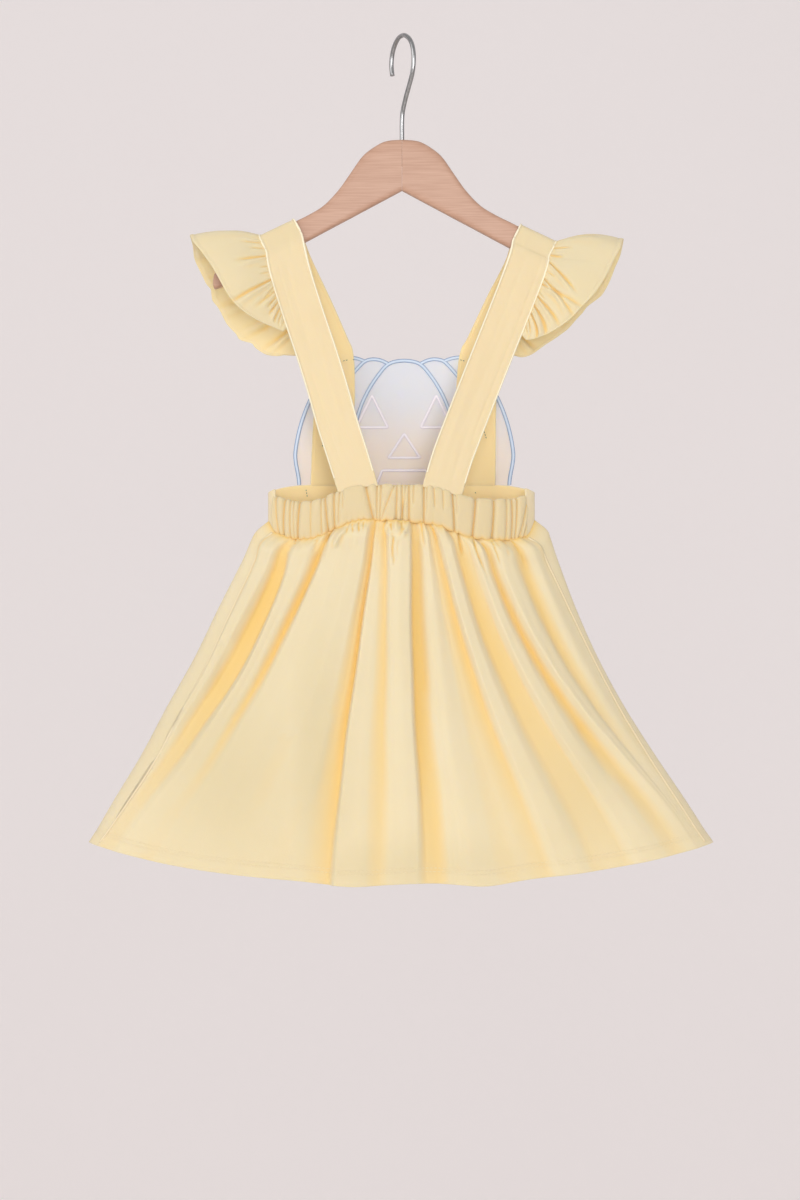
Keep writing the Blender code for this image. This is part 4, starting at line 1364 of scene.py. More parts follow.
    def shade(self, relief: Grid, outer: Grid) -> dict[str, tuple[Grid, Grid]]:
        """Painted shade: how deep the panel lies in its folds and at its seam, and the patches of painted
        shade in the duller colour.

        Args:
            relief: the panel's relief.
            outer: its outer points.

        Returns:
            For each attribute the values of the outer and of the inner face.
        """
        far = cloth_lengths(outer)[..., 0]
        # painted shade: golden in folds, fine creases and under the waist seam, and on the inner face
        deep = 0.90 * sunken(relief, far, self.fold_reach, self.fold_full) ** 0.8
        fine = sunken(relief, far, self.fine_reach, self.fine_full)
        seam = 0.9 * np.exp(-self.downs() / self.seam_shade)[:, None]
        deep = np.maximum(np.maximum(deep, fine * np.exp(-self.downs() / self.fine_length)[:, None]), seam)
        patch_shade = 0 * deep
        # patches of painted shade in the duller colour
        for across, height, half_width, half_height, amount in self.shade_patches:
            spot = ((outer[..., 0] - across * 0.001) / (half_width * 0.001)) ** 2
            spot = spot + ((outer[..., 2] - height * 0.001) / (half_height * 0.001)) ** 2
            patch_shade = np.maximum(patch_shade, amount * np.exp(-spot))
        return {PAINTED_SHADE_LAYER: (deep, np.full_like(deep, self.inside_shade)), DULL_AND_SHADE_LAYER: (patch_shade, 0 * patch_shade)}

    def downs(self) -> Grid:
        """Shares of the way down for the rows, closer together under the waist."""
        return np.linspace(0, 1, self.rows) ** self.crowding

    def hem_edge(self, down: float) -> float:
        """A slight flare of the turned and stitched hem."""
        return self.hem_flare * float(smooth((down - 0.955) / 0.045))

    def back_grid(self) -> tuple[Grid, Grid, Grid]:
        """The back panel.

        Returns:
            Its outer points, the ways inward and the relief.
        """
        table = FoldTable(self.back_folds)
        creases = Creases(self.back_creases)
        rows, ways, reliefs = [], [], []
        for down in self.downs():
            share = table.columns(float(down), self.density, self.least)
            turn = np.arccos(np.clip(share, -1, 1))
            turn[0] -= self.ring.allowance(down)
            turn[-1] += self.ring.allowance(down)
            top = self.ring.back_seam(share)
            height = top + (self.ring.hem(share) - top) * down
            edge = smooth((1 - np.abs(share)) / self.side_ease)
            out = table.relief(share, float(down)) * self.opened(down) + self.puffed(down) * edge
            out = out + self.hem_edge(down)
            middle, half = self.ring.edges(down)
            out = out + self.crease_scale * creases.relief(middle + share * half, height)
            points, inward = self.ring.point(turn, down, height, out)
            rows.append(points)
            ways.append(inward)
            reliefs.append(out)
        return np.array(rows), np.array(ways), np.array(reliefs)

    def front_grid(self) -> tuple[Grid, Grid, Grid]:
        """The front panel, turned over both sides.

        Returns:
            Its outer points, the ways inward and the relief.
        """
        table = FoldTable(self.front_folds)
        creases = Creases(self.front_creases)
        rows, ways, reliefs = [], [], []
        for down in self.downs():
            right, left = self.ring.seam_turns(down)
            gap = self.ring.allowance(down)
            turn = np.linspace(right - gap, left + gap - 2 * math.pi, self.front_columns)
            share = np.cos(turn)
            top = self.ring.front_seam_line(turn)
            height = top + (self.ring.hem(share) - top) * down
            edge = smooth((1 - np.abs(share)) / self.side_ease)
            middle, half = self.ring.edges(down)
            fold = table.relief(share, float(down)) + self.puffed(down) * edge
            fold = fold + self.crease_scale * creases.relief(middle + share * half, height)
            fold = np.where(np.sin(turn) > 0, 0, fold) + self.hem_edge(down)
            points, inward = self.ring.point(turn, down, height, fold)
            rows.append(points)
            ways.append(inward)
            reliefs.append(fold)
        return np.array(rows), np.array(ways), np.array(reliefs)

    def build(self, palette: dict[Slot, bpy.types.Material]) -> None:
        """Build both panels, their hem stitching and the side seams.

        Args:
            palette: a material for each slot.
        """
        back, front = self.back_grid(), self.front_grid()
        seams = [self.side_seam("left", back, 0, front, -1), self.side_seam("right", back, -1, front, 0)]
        for seam in seams:
            dress_piece(seam, palette[Slot.THREAD])
        for name, (outer, inward, relief), flat in (("skirt_back", back, self.back_flat),
                                                    ("skirt_front", front, self.front_flat)):
            panel = closed_shell(name + "_cloth", outer, pushed_in(outer, inward, self.wall),
                                 tints=self.shade(relief, outer))
            dress_piece(panel, palette[Slot.YELLOW], (name,))
            stitches = [self.hem_stitches(f"{name}_hem_stitches_{row}", outer, inward, up)
                        for row, up in enumerate(self.hem_rows, 1)]
            for row in stitches:
                dress_piece(row, palette[Slot.THREAD])

    def side_seam(self, label: str, back: tuple[Grid, Grid, Grid], back_column: int,
                  front: tuple[Grid, Grid, Grid], front_column: int) -> bpy.types.Object:
        """The overlocked edge that shows as a fine line along one side seam.

        Args:
            label: left or right.
            back: the back panel's outer points, ways inward and relief.
            back_column: its column at the seam.
            front: the front panel's outer points, ways inward and relief.
            front_column: its column at the seam.

        Returns:
            The seam's mesh object.
        """
        path = (back[0][2:-1, back_column] + front[0][2:-1, front_column]) / 2
        way = -unit(back[1][2:-1, back_column] + front[1][2:-1, front_column])
        path, way = even_steps(path, self.seam_points), curve_through(way, self.seam_points)
        return swept(f"skirt_side_seam_{label}", path, way, self.seam_cord, self.seam_cord * 0.7, 6)

    def hem_stitches(self, name: str, outer: Grid, inward: Grid, up: float) -> bpy.types.Object:
        """One of the hem's stitch rows.

        Args:
            name: the row's name.
            outer: the panel's outer points.
            inward: the ways inward.
            up: distance above the edge.

        Returns:
            The stitches' mesh object.
        """
        far = np.linalg.norm(outer[-1] - outer, axis=2)
        rows = np.argmin(np.abs(far - up), axis=0)
        columns = np.arange(outer.shape[1])
        path, way = outer[rows, columns], -inward[rows, columns]
        path, way = even_steps(path, self.stitch_points), curve_through(way, self.stitch_points)
        return stitch_row(name, path, way, *self.stitch)


# Waistbands


@dataclass
class Waistband:
    """Waistband: elastic and gathered at the back, flat at the front."""

    ring: WaistRing
    wall: float = 0.0018
    columns: int = 900
    rows: int = 26
    swell: float = 0.0024
    scallop: float = 0.0022
    trough_round: float = 0.00022
    gather_scale: float = 0.0024
    gather_width: float = 0.0011
    base: float = 0.0010
    front_columns: int = 260
    front_rows: int = 14
    edge_depth: float = 0.0022
    fold_reach: float = 0.0045
    fold_full: float = 0.0013
    fold_share: float = 0.6
    seam_shade: float = 0.05
    outer_shade: float = 0.08
    dulled: float = 0.60
    inside_shade: float = 0.62
    front_inside_shade: float = 0.124
    flat_back: tuple[float, float] = (0.35, 0.029)
    flat_front: tuple[float, float] = (0.30, 0.045)
    gathers: Rows = (
        # across at the top edge, at the seam, start, end, depth, half width; mm, shares down
        (-109.4, -106.8, 0.0, 1.0, 1.2, 1.3),
        (-101.6, -102.5, 0.0, 1.0, 1.7, 1.1),
        (-96.4, -96.4, 0.0, 1.0, 1.2, 0.9),
        (-93.5, -93.0, 0.0, 1.0, 1.0, 0.8),
        (-88.7, -90.4, 0.0, 1.0, 1.9, 1.2),
        (-78.4, -78.4, 0.0, 0.9, 0.7, 1.2),
        (-69.8, -68.9, 0.0, 0.9, 1.0, 1.0),
        (-66.3, -63.8, 0.0, 1.0, 1.9, 1.1),
        (-58.6, -58.1, 0.0, 1.0, 1.6, 1.1),
        (-53.8, -55.1, 0.0, 0.8, 1.0, 1.0),
        (-51.2, -50.0, 0.0, 0.4, 0.7, 0.8),
        (-31.0, -25.0, 0.0, 1.0, 2.0, 1.4),
        (-21.5, -21.5, 0.0, 1.0, 1.2, 0.9),
        (-18.1, -19.0, 0.0, 1.0, 1.2, 0.9),
        (-6.9, -18.0, 0.0, 0.9, 1.0, 1.1),
        (-4.3, -5.2, 0.0, 1.0, 1.3, 0.9),
        (0.0, 0.4, 0.0, 1.0, 1.3, 0.9),
        (3.1, -0.9, 0.0, 1.0, 1.0, 0.8),
        (6.0, 6.0, 0.0, 1.0, 1.5, 1.0),
        (10.1, 9.0, 0.0, 0.4, 0.8, 0.8),
        (18.7, 18.7, 0.0, 1.0, 1.7, 0.9),
        (21.5, 19.8, 0.0, 0.6, 0.9, 0.8),
        (27.5, 28.5, 0.0, 0.4, 0.8, 0.9),
        (35.3, 36.0, 0.0, 0.4, 0.6, 0.9),
        (43.5, 45.1, 0.0, 1.0, 1.9, 0.9),
        (46.5, 47.5, 0.0, 0.4, 0.8, 0.8),
        (63.4, 60.7, 0.0, 1.0, 1.9, 1.1),
        (79.5, 77.5, 0.0, 1.0, 1.9, 1.1),
        (90.4, 89.5, 0.0, 0.9, 0.9, 1.1),
        (95.1, 94.7, 0.0, 1.0, 1.5, 1.2),
        (99.4, 97.8, 0.0, 1.0, 1.3, 0.9),
        (109.1, 101.6, 0.0, 1.0, 1.3, 1.0),
        (112.0, 105.9, 0.1, 1.0, 1.2, 1.0),
    )

    def gather_relief(self, across: Grid, down: Grid | float) -> Grid:
        """Relief of the gathers.

        Each trough is its depth times e to the minus distance over half width, the distance
        rounded off at the bottom, faded at its start and end; what is left between two
        troughs is a round tube of cloth.

        Args:
            across: distances from the middle, metres.
            down: share of the way down the band.

        Returns:
            Relief in metres, outward.
        """
        total = np.zeros_like(across)
        for top, foot, start, end, depth, wide in self.gathers:
            centre = (top + (foot - top) * down) * 0.001
            fade = smooth((down - start + 0.15) / 0.15) * smooth((end + 0.2 - down) / 0.2)
            gap = np.sqrt((across - centre) ** 2 + self.trough_round ** 2)
            total -= depth * self.gather_scale * fade * np.exp(-gap / (wide * self.gather_width))
        return total

    def back_grid(self) -> tuple[Grid, Grid, Grid]:
        """The elastic back band.

        Returns:
            Its outer points, the ways inward and the relief.
        """
        right, left = self.ring.seam_turns(0.0)
        gap = self.ring.allowance(0.0)
        turn = np.linspace(left + gap, right - gap, self.columns)
        middle, half = self.ring.edges(0.0)
        across = middle + half * np.cos(turn)
        low = self.ring.band_line(across, 2) + SEAM_GAP
        high = self.ring.band_line(across, 1)
        low_edge = np.clip(-self.gather_relief(across, 0.0) / self.edge_depth, 0, 1)
        high = high + self.scallop * (0.4 - low_edge)
        rows, ways, reliefs = [], [], []
        for down in np.linspace(0, 1, self.rows):
            out = self.swell * math.sin(math.pi * down) ** 0.6 + self.base
            out = out + self.gather_relief(across, float(down))
            points, inward = self.ring.point(turn, 0.0, high + (low - high) * down, out)
            rows.append(points)
            ways.append(inward)
            reliefs.append(out)
        return np.array(rows), np.array(ways), np.array(reliefs)

    def front_grid(self) -> tuple[Grid, Grid]:
        """The flat front band.

        Returns:
            Its outer points and the ways inward.
        """
        right, left = self.ring.seam_turns(0.0)
        gap = self.ring.allowance(0.0)
        turn = np.linspace(right - gap, left + gap - 2 * math.pi, self.front_columns)
        share = np.cos(turn)
        low = self.ring.front_seam_line(turn) + SEAM_GAP
        high = self.ring.front_edge(share)
        rows, ways = [], []
        for down in np.linspace(0, 1, self.front_rows):
            points, inward = self.ring.point(turn, 0.0, high + (low - high) * down, 0 * turn)
            rows.append(points)
            ways.append(inward)
        return np.array(rows), np.array(ways)

    def build(self, palette: dict[Slot, bpy.types.Material]) -> None:
        """Build both bands.

        Args:
            palette: a material for each slot.
        """
        outer, inward, relief = self.back_grid()
        # painted shade: golden in the gathers' troughs, a little over the whole outer face, at the seam and
        # on the inner face; the outer face is also a duller colour all over
        deep = sunken(relief, cloth_lengths(outer)[..., 0], self.fold_reach, self.fold_full)
        down = np.linspace(0, 1, self.rows)[:, None]
        deep = np.maximum(np.maximum(deep, self.outer_shade), np.exp((down - 1) / self.seam_shade))
        shade = {PAINTED_SHADE_LAYER: (self.fold_share * deep, np.full_like(deep, self.inside_shade)),
                 DULL_AND_SHADE_LAYER: (np.full_like(deep, self.dulled), 0 * deep)}
        back = closed_shell("waistband_back_cloth", outer, pushed_in(outer, inward, self.wall), tints=shade)
        dress_piece(back, palette[Slot.YELLOW], ("waistband_back",))
        outer, inward = self.front_grid()
        # painted shade and painted light on the front band's inner face
        level = np.zeros(outer.shape[:2])
        shade = {PAINTED_SHADE_LAYER: (level, level + self.front_inside_shade), LIT_LAYER: (level, level + 1)}
        front = closed_shell("waistband_front_cloth", outer, pushed_in(outer, inward, self.wall), tints=shade)
        dress_piece(front, palette[Slot.YELLOW], ("waistband_front",))


# Straps


@dataclass
class Strap:
    """One shoulder strap from the front waistband over the arm to the back waistband."""

    ring: WaistRing
    side: Side
    half_width: float = 0.0170
    narrowing: float = 0.14
    arm_lean: float = 25.5
    tops: tuple[float, float] = (-0.1080, 0.1175)
    wall: float = 0.0017
    solid_wall: float = 0.0019
    band_wall: float = 0.0020
    steps: int = 37
    shoulder_spread: float = 0.10
    leaves_bib: float = 0.25
    meets_band: float = 0.88
    ease: float = 0.10
    front_depth: float = 0.0120
    back_depth: float = -0.0110
    bib_top: float = -0.2820
    bib_depth: float = 0.0172
    rows: int = 260
    columns: int = 51
    roll: float = 0.00035
    seam_place: float = 0.885
    seam_depth: float = 0.00016
    fold_reach: float = 0.0028
    fold_full: float = 0.0009
    front_end: float = 0.42
    front_ease: float = 0.06
    front_shade: float = 0.18
    front_shade_length: float = 0.3
    back_start: float = 0.6
    back_shade: float = 0.2
    outer_share: float = 0.35
    outer_shade: float = 0.05
    dulled: float = 0.20
    shade_on_wood: float = 0.30
    wood_ease: float = 0.006
    piping_points: int = 700
    softness: float = 0.00055
    piping_lift: float = 0.0007
    piping_radius: float = 0.00068
    flat: tuple[float, float] = (0.036, 0.55)
    left_wrinkles: Rows = (
        # start and end along, share across at start and at end, half width, relief in mm
        (0.780, 0.905, -0.05, -0.28, 0.17, -1.00),
        (0.795, 0.880, -0.50, -0.55, 0.09, -0.55),
        (0.845, 0.985, 0.38, 0.22, 0.16, 0.70),
        (0.890, 1.000, -0.58, -0.42, 0.13, -0.80),
        (0.925, 1.000, 0.02, 0.16, 0.18, -0.60),
        (0.700, 0.800, 0.35, 0.25, 0.14, -0.45),
        (0.010, 0.130, 0.25, 0.38, 0.16, -0.55),
        (0.040, 0.200, -0.30, -0.18, 0.13, 0.55),
        (0.190, 0.330, 0.10, -0.05, 0.16, -0.50),
    )
    right_wrinkles: Rows = (
        # start and end along, share across at start and at end, half width, relief in mm
        (0.760, 0.975, 0.60, 0.63, 0.080, -0.75),
        (0.850, 0.965, 0.10, -0.12, 0.20, -0.70),
        (0.880, 1.000, -0.52, -0.34, 0.15, 0.65),
        (0.790, 0.900, -0.18, -0.30, 0.12, -0.45),
        (0.925, 1.000, 0.24, 0.38, 0.13, -0.65),
        (0.700, 0.800, -0.40, -0.32, 0.12, 0.40),
        (0.020, 0.150, -0.28, -0.36, 0.15, -0.55),
        (0.060, 0.220, 0.32, 0.20, 0.12, 0.50),
        (0.200, 0.330, -0.08, 0.08, 0.16, -0.50),
    )
    left_front: Rows = (
        # across, height, lean in degrees
        (-0.0623, -0.3882, 1.0),
        (-0.0610, -0.3500, 1.0),
        (-0.0590, -0.3137, 2.0),
        (-0.0597, -0.2790, 12.0),
        (-0.0643, -0.2657, 21.0),
        (-0.0796, -0.2310, 24.0),
        (-0.0950, -0.1985, 24.0),
    )
    left_back: Rows = (
        # across, height, lean in degrees
        (-0.0990, -0.1960, 17.0),
        (-0.0895, -0.2289, 16.0),
        (-0.0692, -0.2900, 16.0),
        (-0.0540, -0.3422, 14.0),
        (-0.0379, -0.3905, 12.0),
    )
    right_front: Rows = (
        # across, height, lean in degrees
        (0.0641, -0.3882, 0.0),
        (0.0645, -0.3500, 0.0),
        (0.0648, -0.3137, 2.0),
        (0.0675, -0.2790, 14.0),
        (0.0740, -0.2657, 22.0),
        (0.0910, -0.2300, 25.0),
        (0.1055, -0.2020, 25.0),
    )
    right_back: Rows = (
        # across, height, lean in degrees
        (0.1095, -0.1950, 20.0),
        (0.0970, -0.2290, 20.0),
        (0.0713, -0.2936, 20.0),
        (0.0500, -0.3478, 20.0),
        (0.0345, -0.3905, 17.0),
    )
    over_arm: Rows = (
        # depth, rise above the arm's top edge
        (0.0084, -0.0140),
        (0.0080, -0.0045),
        (0.0070, 0.0004),
        (0.0036, 0.0018),
        (0.0000, 0.0021),
        (-0.0036, 0.0018),
        (-0.0070, 0.0004),
        (-0.0080, -0.0045),
        (-0.0084, -0.0140),
    )

    def sheet_depth(self, across: Grid, height: Grid) -> Grid:
        """Depth of the seam plane between the bib and the front straps.

        Args:
            across: distances from the middle.
            height: heights.

        Returns:
            Depths.
        """
        up = np.clip((height - self.ring.front_top) / (self.bib_top - self.ring.front_top), 0, 1)
        low = self.ring.waist_depth(across, 1)
        return low + (self.bib_depth - across ** 2 - low) * smooth(up)

    def path(self) -> Grid:
        """The strap's run from the front waistband over the arm to the back one.

        Returns:
            A row for each station: across, depth, height and lean.
        """
        sign = self.side.value
        front, back, top = ((self.left_front, self.left_back, self.tops[0]) if sign < 0
                            else (self.right_front, self.right_back, self.tops[1]))
        lean = math.radians(self.arm_lean)
        stations = []
        for across, height, turn in front:
            up = (height - self.bib_top) / (front[-1][1] - self.bib_top)
            seat = float(self.sheet_depth(across, height)) - SEAM_GAP / 2 - self.solid_wall / 2
            depth = seat + (self.front_depth - seat) * float(smooth(up)) if up > 0 else seat
            stations.append((across, depth, height, turn))
        for depth, rise in self.over_arm:
            across = top + sign * rise * math.sin(lean)
            stations.append((across, depth, float(HangerArm.top_line(top)) + rise * math.cos(lean),
                             self.arm_lean))
        for across, height, turn in back:
            down = (height - back[0][1]) / (back[-1][1] - back[0][1])
            seat = float(self.ring.waist_depth(across, -1)) + self.band_wall / 2
            stations.append((across, self.back_depth + (seat - self.back_depth) * down, height, turn))
        return curve_through(stations, self.steps)

    def middle(self, shares: tuple[float, ...] | Grid, beyond: float = 0.0) -> Grid:
        """Middle surface at shares of the half width, its ends laid to the waistbands.

        Args:
            shares: columns as shares of the half width.
            beyond: distance added across the strap.

        Returns:
            A grid of points, a row for each station.
        """
        path = self.path()
        along = np.linspace(0, 1, len(path))[:, None]
        narrow = self.narrowing if self.side is Side.LEFT else 0.0
        half = self.half_width * (1 - narrow * np.exp(-((along - 0.5) / self.shoulder_spread) ** 2))
        offsets = half * np.asarray(shares)[None, :] + beyond
        lean = np.radians(path[:, 3])
        width = np.stack([np.cos(lean), 0 * lean, -self.side.value * np.sin(lean)], axis=1)
        grid = path[:, None, :3] + width[:, None, :] * offsets[..., None]
        at_front = smooth((self.leaves_bib - along) / self.ease)
        front = self.sheet_depth(grid[..., 0], grid[..., 2]) - SEAM_GAP / 2 - self.solid_wall / 2
        grid[..., 1] += at_front * (front - grid[..., 1])
        at_back = smooth((along - self.meets_band) / self.ease)
        back = self.ring.waist_depth(grid[..., 0], -1) + self.band_wall / 2
        grid[..., 1] += at_back * (back - grid[..., 1])
        grid[0, :, 2] = self.ring.front_top + SEAM_GAP
        grid[-1, :, 2] = self.ring.band_line(grid[-1, :, 0], 1) + SEAM_GAP
        return grid

    def fine_middle(self, shares: Grid) -> Grid:
        """The middle surface with many rows, each column a smooth line.

        Args:
            shares: places across the strap, -1 to 1.

        Returns:
            Rows x columns x 3 points.
        """
        coarse = self.middle(shares)
        flat = coarse.reshape(len(coarse), -1)
        return curve_through(flat, self.rows).reshape(self.rows, -1, 3)

    def wrinkled(self, along: Grid, shares: Grid) -> Grid:
        """Relief of the strap's outer face.

        A rolled edge and a seam groove beside it, and soft lengthwise creases, each a bell
        curve across the strap faded at both ends.

        Args:
            along: column of places along the strap, 0 to 1.
            shares: places across as shares of the half width.

        Returns:
            Relief in metres.
        """
        off = np.abs(shares)
        total = self.roll * np.exp(-((off - 0.965) / 0.035) ** 2)
        total = total - self.seam_depth * np.exp(-((off - self.seam_place) / 0.025) ** 2) + 0 * along
        rows = self.left_wrinkles if self.side is Side.LEFT else self.right_wrinkles
        for start, end, first, last, wide, high in rows:
            place = np.clip((along - start) / (end - start), 0, 1)
            fade = smooth(place / 0.25) * smooth((1 - place) / (0.25 if end < 1 else 0.001))
            centre = first + (last - first) * place
            total = total + high * self.softness * fade * np.exp(-((shares - centre) / wide) ** 2)
        return total

    def shade(self, relief: Grid, grid: Grid, along: Grid) -> dict[str, tuple[Grid, Grid]]:
        """Painted shade in the strap's creases, on its inner face and where it lies on the wood, a duller
        colour over its outer face, and painted light on the inner face of its front part.

        Args:
            relief: the outer face's relief.
            grid: the middle surface.
            along: column of places along the strap, 0 to 1.

        Returns:
            For each attribute the values of the outer and of the inner face.
        """
        fine = sunken(relief, cloth_lengths(grid)[..., 0], self.fold_reach, self.fold_full)
        # painted light on the inner face of the front part, with painted shade there and on the inside of the
        # back part
        lit = smooth((self.front_end - along) / self.front_ease) + 0 * fine
        front = lit * self.front_shade * (1 - smooth(along / self.front_shade_length))
        inside = self.back_shade * smooth((along - self.back_start) / 0.1) + front
        # painted shade where the strap lies on the wood, over a plain duller colour everywhere
        resting = smooth((grid[..., 2] - HangerArm.low_line(grid[..., 0])) / self.wood_ease)
        resting = resting * smooth((along - 0.5) / 0.02)
        resting = self.dulled + (self.shade_on_wood - self.dulled) * resting
        return {
            PAINTED_SHADE_LAYER: (np.maximum(self.outer_share * fine, self.outer_shade), np.maximum(fine, inside)),
            DULL_AND_SHADE_LAYER: (resting, 0 * resting),
            LIT_LAYER: (0 * lit, lit),
        }

    def build(self, palette: dict[Slot, bpy.types.Material]) -> None:
        """Build the strap as a thin folded strip with rolled edges, and its edge piping.

        Args:
            palette: a material for each slot.
        """
        shares = np.sin(np.linspace(-math.pi / 2, math.pi / 2, self.columns))
        grid = self.fine_middle(shares)
        normal = grid_normals(grid)
        along = np.linspace(0, 1, self.rows)[:, None]
        relief = self.wrinkled(along, shares[None])
        ends = smooth(along / 0.02) * smooth((1 - along) / 0.02)
        outward = np.sign(np.mean(normal[self.rows // 2, :, 2]))
        first = grid + outward * normal * (self.wall / 2 + relief * ends)[..., None]
        second = grid - outward * normal * (self.wall / 2 - 0.6 * relief * ends)[..., None]
        name = self.side.name.lower()
        strap = closed_shell(f"strap_{name}_cloth", first, second, tints=self.shade(relief, grid, along))
        dress_piece(strap, palette[Slot.YELLOW], (f"strap_{name}",))
        for label, column in (("left", 0), ("right", -1)):
            outside = outward * normal[3:-3, column] * self.piping_lift
            edge = even_steps(grid[3:-3, column] + outside, self.piping_points)
            up = curve_through(normal[3:-3, column], self.piping_points)
            piping = swept(f"strap_{name}_piping_{label}", edge, up, self.piping_radius,
                           self.piping_radius * 1.5, 8)
            dress_piece(piping, palette[Slot.PIPING])


# Ruffles


@dataclass
class Ruffle:
    """Gathered ruffle from a strap's outer edge to a free edge."""

    strap: Strap
    wall: float = 0.0009
    rows: int = 52
    columns: int = 420
    front_start: float = -0.2700
    left_end: float = -0.2525
    right_end: float = -0.2590
    beside: float = 0.65
    pucker: float = 0.00032
    pucker_reach: float = 0.10
    puckers: float = 47.0
    hem_place: float = 0.945
    hem_rise: float = 0.00045
    fold_reach: float = 0.0050
    fold_full: float = 0.0014
    gather_scale: float = 0.00115
    fold_share: float = 0.7
    root_shade: float = 0.045
    root_share_shaded: float = 0.5
    behind_shade: float = 0.06
    dulled: float = 0.25
    lit: float = 0.55
    stitch_points: int = 600
    stitch: tuple[float, float, float] = (0.0030, 0.0021, 0.00018)
    crown: float = 0.0062
    belly: float = 0.0035
    end_fade: float = 0.06
    root_share: float = 0.4
    flat: tuple[float, float] = (0.30, 0.052)
    left_steps: Rows = (
        # along the free edge, spread, reach beyond it in mm
        (0.030, 0.020, 1.6),
        (0.068, 0.014, -1.4),
        (0.115, 0.030, 1.5),
        (0.172, 0.012, -1.8),
        (0.205, 0.014, 2.2),
        (0.300, 0.025, -1.0),
        (0.345, 0.014, 1.6),
        (0.380, 0.012, -1.5),
        (0.480, 0.030, 1.0),
        (0.560, 0.025, 1.2),
        (0.640, 0.025, -0.8),
    )
    right_steps: Rows = (
        # along the free edge, spread, reach beyond it in mm
        (0.050, 0.030, 1.0),
        (0.120, 0.025, -0.9),
        (0.200, 0.030, 1.2),
        (0.290, 0.020, -1.2),
        (0.340, 0.022, 1.2),
        (0.470, 0.030, 0.9),
        (0.560, 0.020, -0.8),
        (0.660, 0.030, 0.7),
        (0.800, 0.030, -0.7),
    )
    left_gathers: Rows = (
        # along at the root and at the end, reach out, depth, half width at root and end, lean; mm
        (0.030, 0.020, 0.80, 1.9, 0.9, 2.2, 1.0),
        (0.075, 0.050, 0.55, 1.2, 0.8, 1.8, -1.0),
        (0.110, 0.115, 0.95, 2.3, 1.0, 3.6, 1.0),
        (0.155, 0.150, 0.30, 1.0, 0.8, 1.2, 1.0),
        (0.190, 0.215, 0.90, 2.0, 1.0, 3.4, -1.0),
        (0.240, 0.235, 0.40, 1.1, 0.8, 1.4, 1.0),
        (0.285, 0.300, 1.00, 2.4, 1.0, 4.0, 1.0),
        (0.330, 0.335, 0.35, 1.0, 0.8, 1.4, -1.0),
        (0.375, 0.390, 0.85, 1.8, 0.9, 3.2, 1.0),
        (0.430, 0.425, 0.45, 1.1, 0.8, 1.6, 1.0),
        (0.475, 0.485, 0.90, 1.6, 0.9, 3.0, -1.0),
        (0.530, 0.535, 0.40, 1.0, 0.8, 1.4, 1.0),
        (0.575, 0.560, 0.80, 1.3, 0.9, 2.8, 1.0),
        (0.620, 0.618, 0.28, 1.1, 0.8, 1.2, -1.0),
        (0.648, 0.645, 0.22, 1.0, 0.7, 1.1, 1.0),
        (0.682, 0.692, 0.46, 1.9, 0.8, 1.9, 1.0),
        (0.728, 0.730, 0.16, 0.9, 0.7, 0.9, 1.0),
        (0.752, 0.756, 0.18, 0.9, 0.7, 0.9, -1.0),
        (0.786, 0.828, 0.98, 2.5, 0.9, 2.3, 1.0),
        (0.818, 0.848, 0.26, 1.2, 0.7, 1.2, -1.0),
        (0.838, 0.872, 0.62, 1.2, 0.8, 2.4, 1.0),
        (0.862, 0.888, 0.34, 1.5, 0.7, 1.2, 1.0),
        (0.886, 0.916, 0.44, 1.7, 0.7, 1.3, 1.0),
        (0.910, 0.955, 0.60, 1.7, 0.8, 1.5, -1.0),
        (0.936, 0.975, 0.62, 1.4, 0.7, 1.4, 1.0),
        (0.972, 0.992, 0.85, 1.5, 0.8, 1.2, 1.0),
    )
    right_gathers: Rows = (
        # along at the root and at the end, reach out, depth, half width at root and end, lean; mm
        (0.035, 0.025, 0.70, 1.7, 0.9, 2.0, -1.0),
        (0.080, 0.070, 0.95, 2.0, 0.9, 3.2, 1.0),
        (0.125, 0.120, 0.40, 1.1, 0.8, 1.4, 1.0),
        (0.165, 0.190, 0.90, 2.2, 1.0, 3.6, 1.0),
        (0.215, 0.212, 0.35, 1.0, 0.8, 1.2, -1.0),
        (0.255, 0.270, 0.95, 2.2, 1.0, 3.8, -1.0),
        (0.305, 0.300, 0.45, 1.1, 0.8, 1.5, 1.0),
        (0.350, 0.365, 0.90, 1.9, 0.9, 3.4, 1.0),
        (0.400, 0.398, 0.30, 1.0, 0.8, 1.3, 1.0),
        (0.445, 0.455, 0.90, 1.6, 0.9, 3.0, 1.0),
        (0.505, 0.500, 0.40, 1.0, 0.8, 1.4, -1.0),
        (0.555, 0.548, 0.60, 1.2, 0.8, 2.2, 1.0),
        (0.600, 0.602, 0.25, 1.1, 0.7, 1.1, 1.0),
        (0.632, 0.640, 0.20, 1.7, 0.9, 1.3, -1.0),
        (0.662, 0.752, 0.60, 2.1, 0.8, 1.8, 1.0),
        (0.705, 0.722, 0.16, 1.1, 0.7, 0.9, 1.0),
        (0.738, 0.834, 0.90, 2.2, 0.8, 2.0, 1.0),
        (0.766, 0.802, 0.96, 1.7, 0.8, 2.4, 1.0),
        (0.800, 0.822, 0.18, 1.2, 0.7, 0.9, -1.0),
        (0.820, 0.884, 0.86, 2.3, 0.8, 2.1, 1.0),
        (0.860, 0.934, 0.92, 2.4, 0.8, 2.2, 1.0),
        (0.896, 0.972, 1.05, 2.3, 0.8, 1.8, -1.0),
        (0.925, 0.985, 0.70, 1.4, 0.7, 1.4, 1.0),
        (0.960, 0.992, 0.90, 1.5, 0.7, 1.2, 1.0),
    )
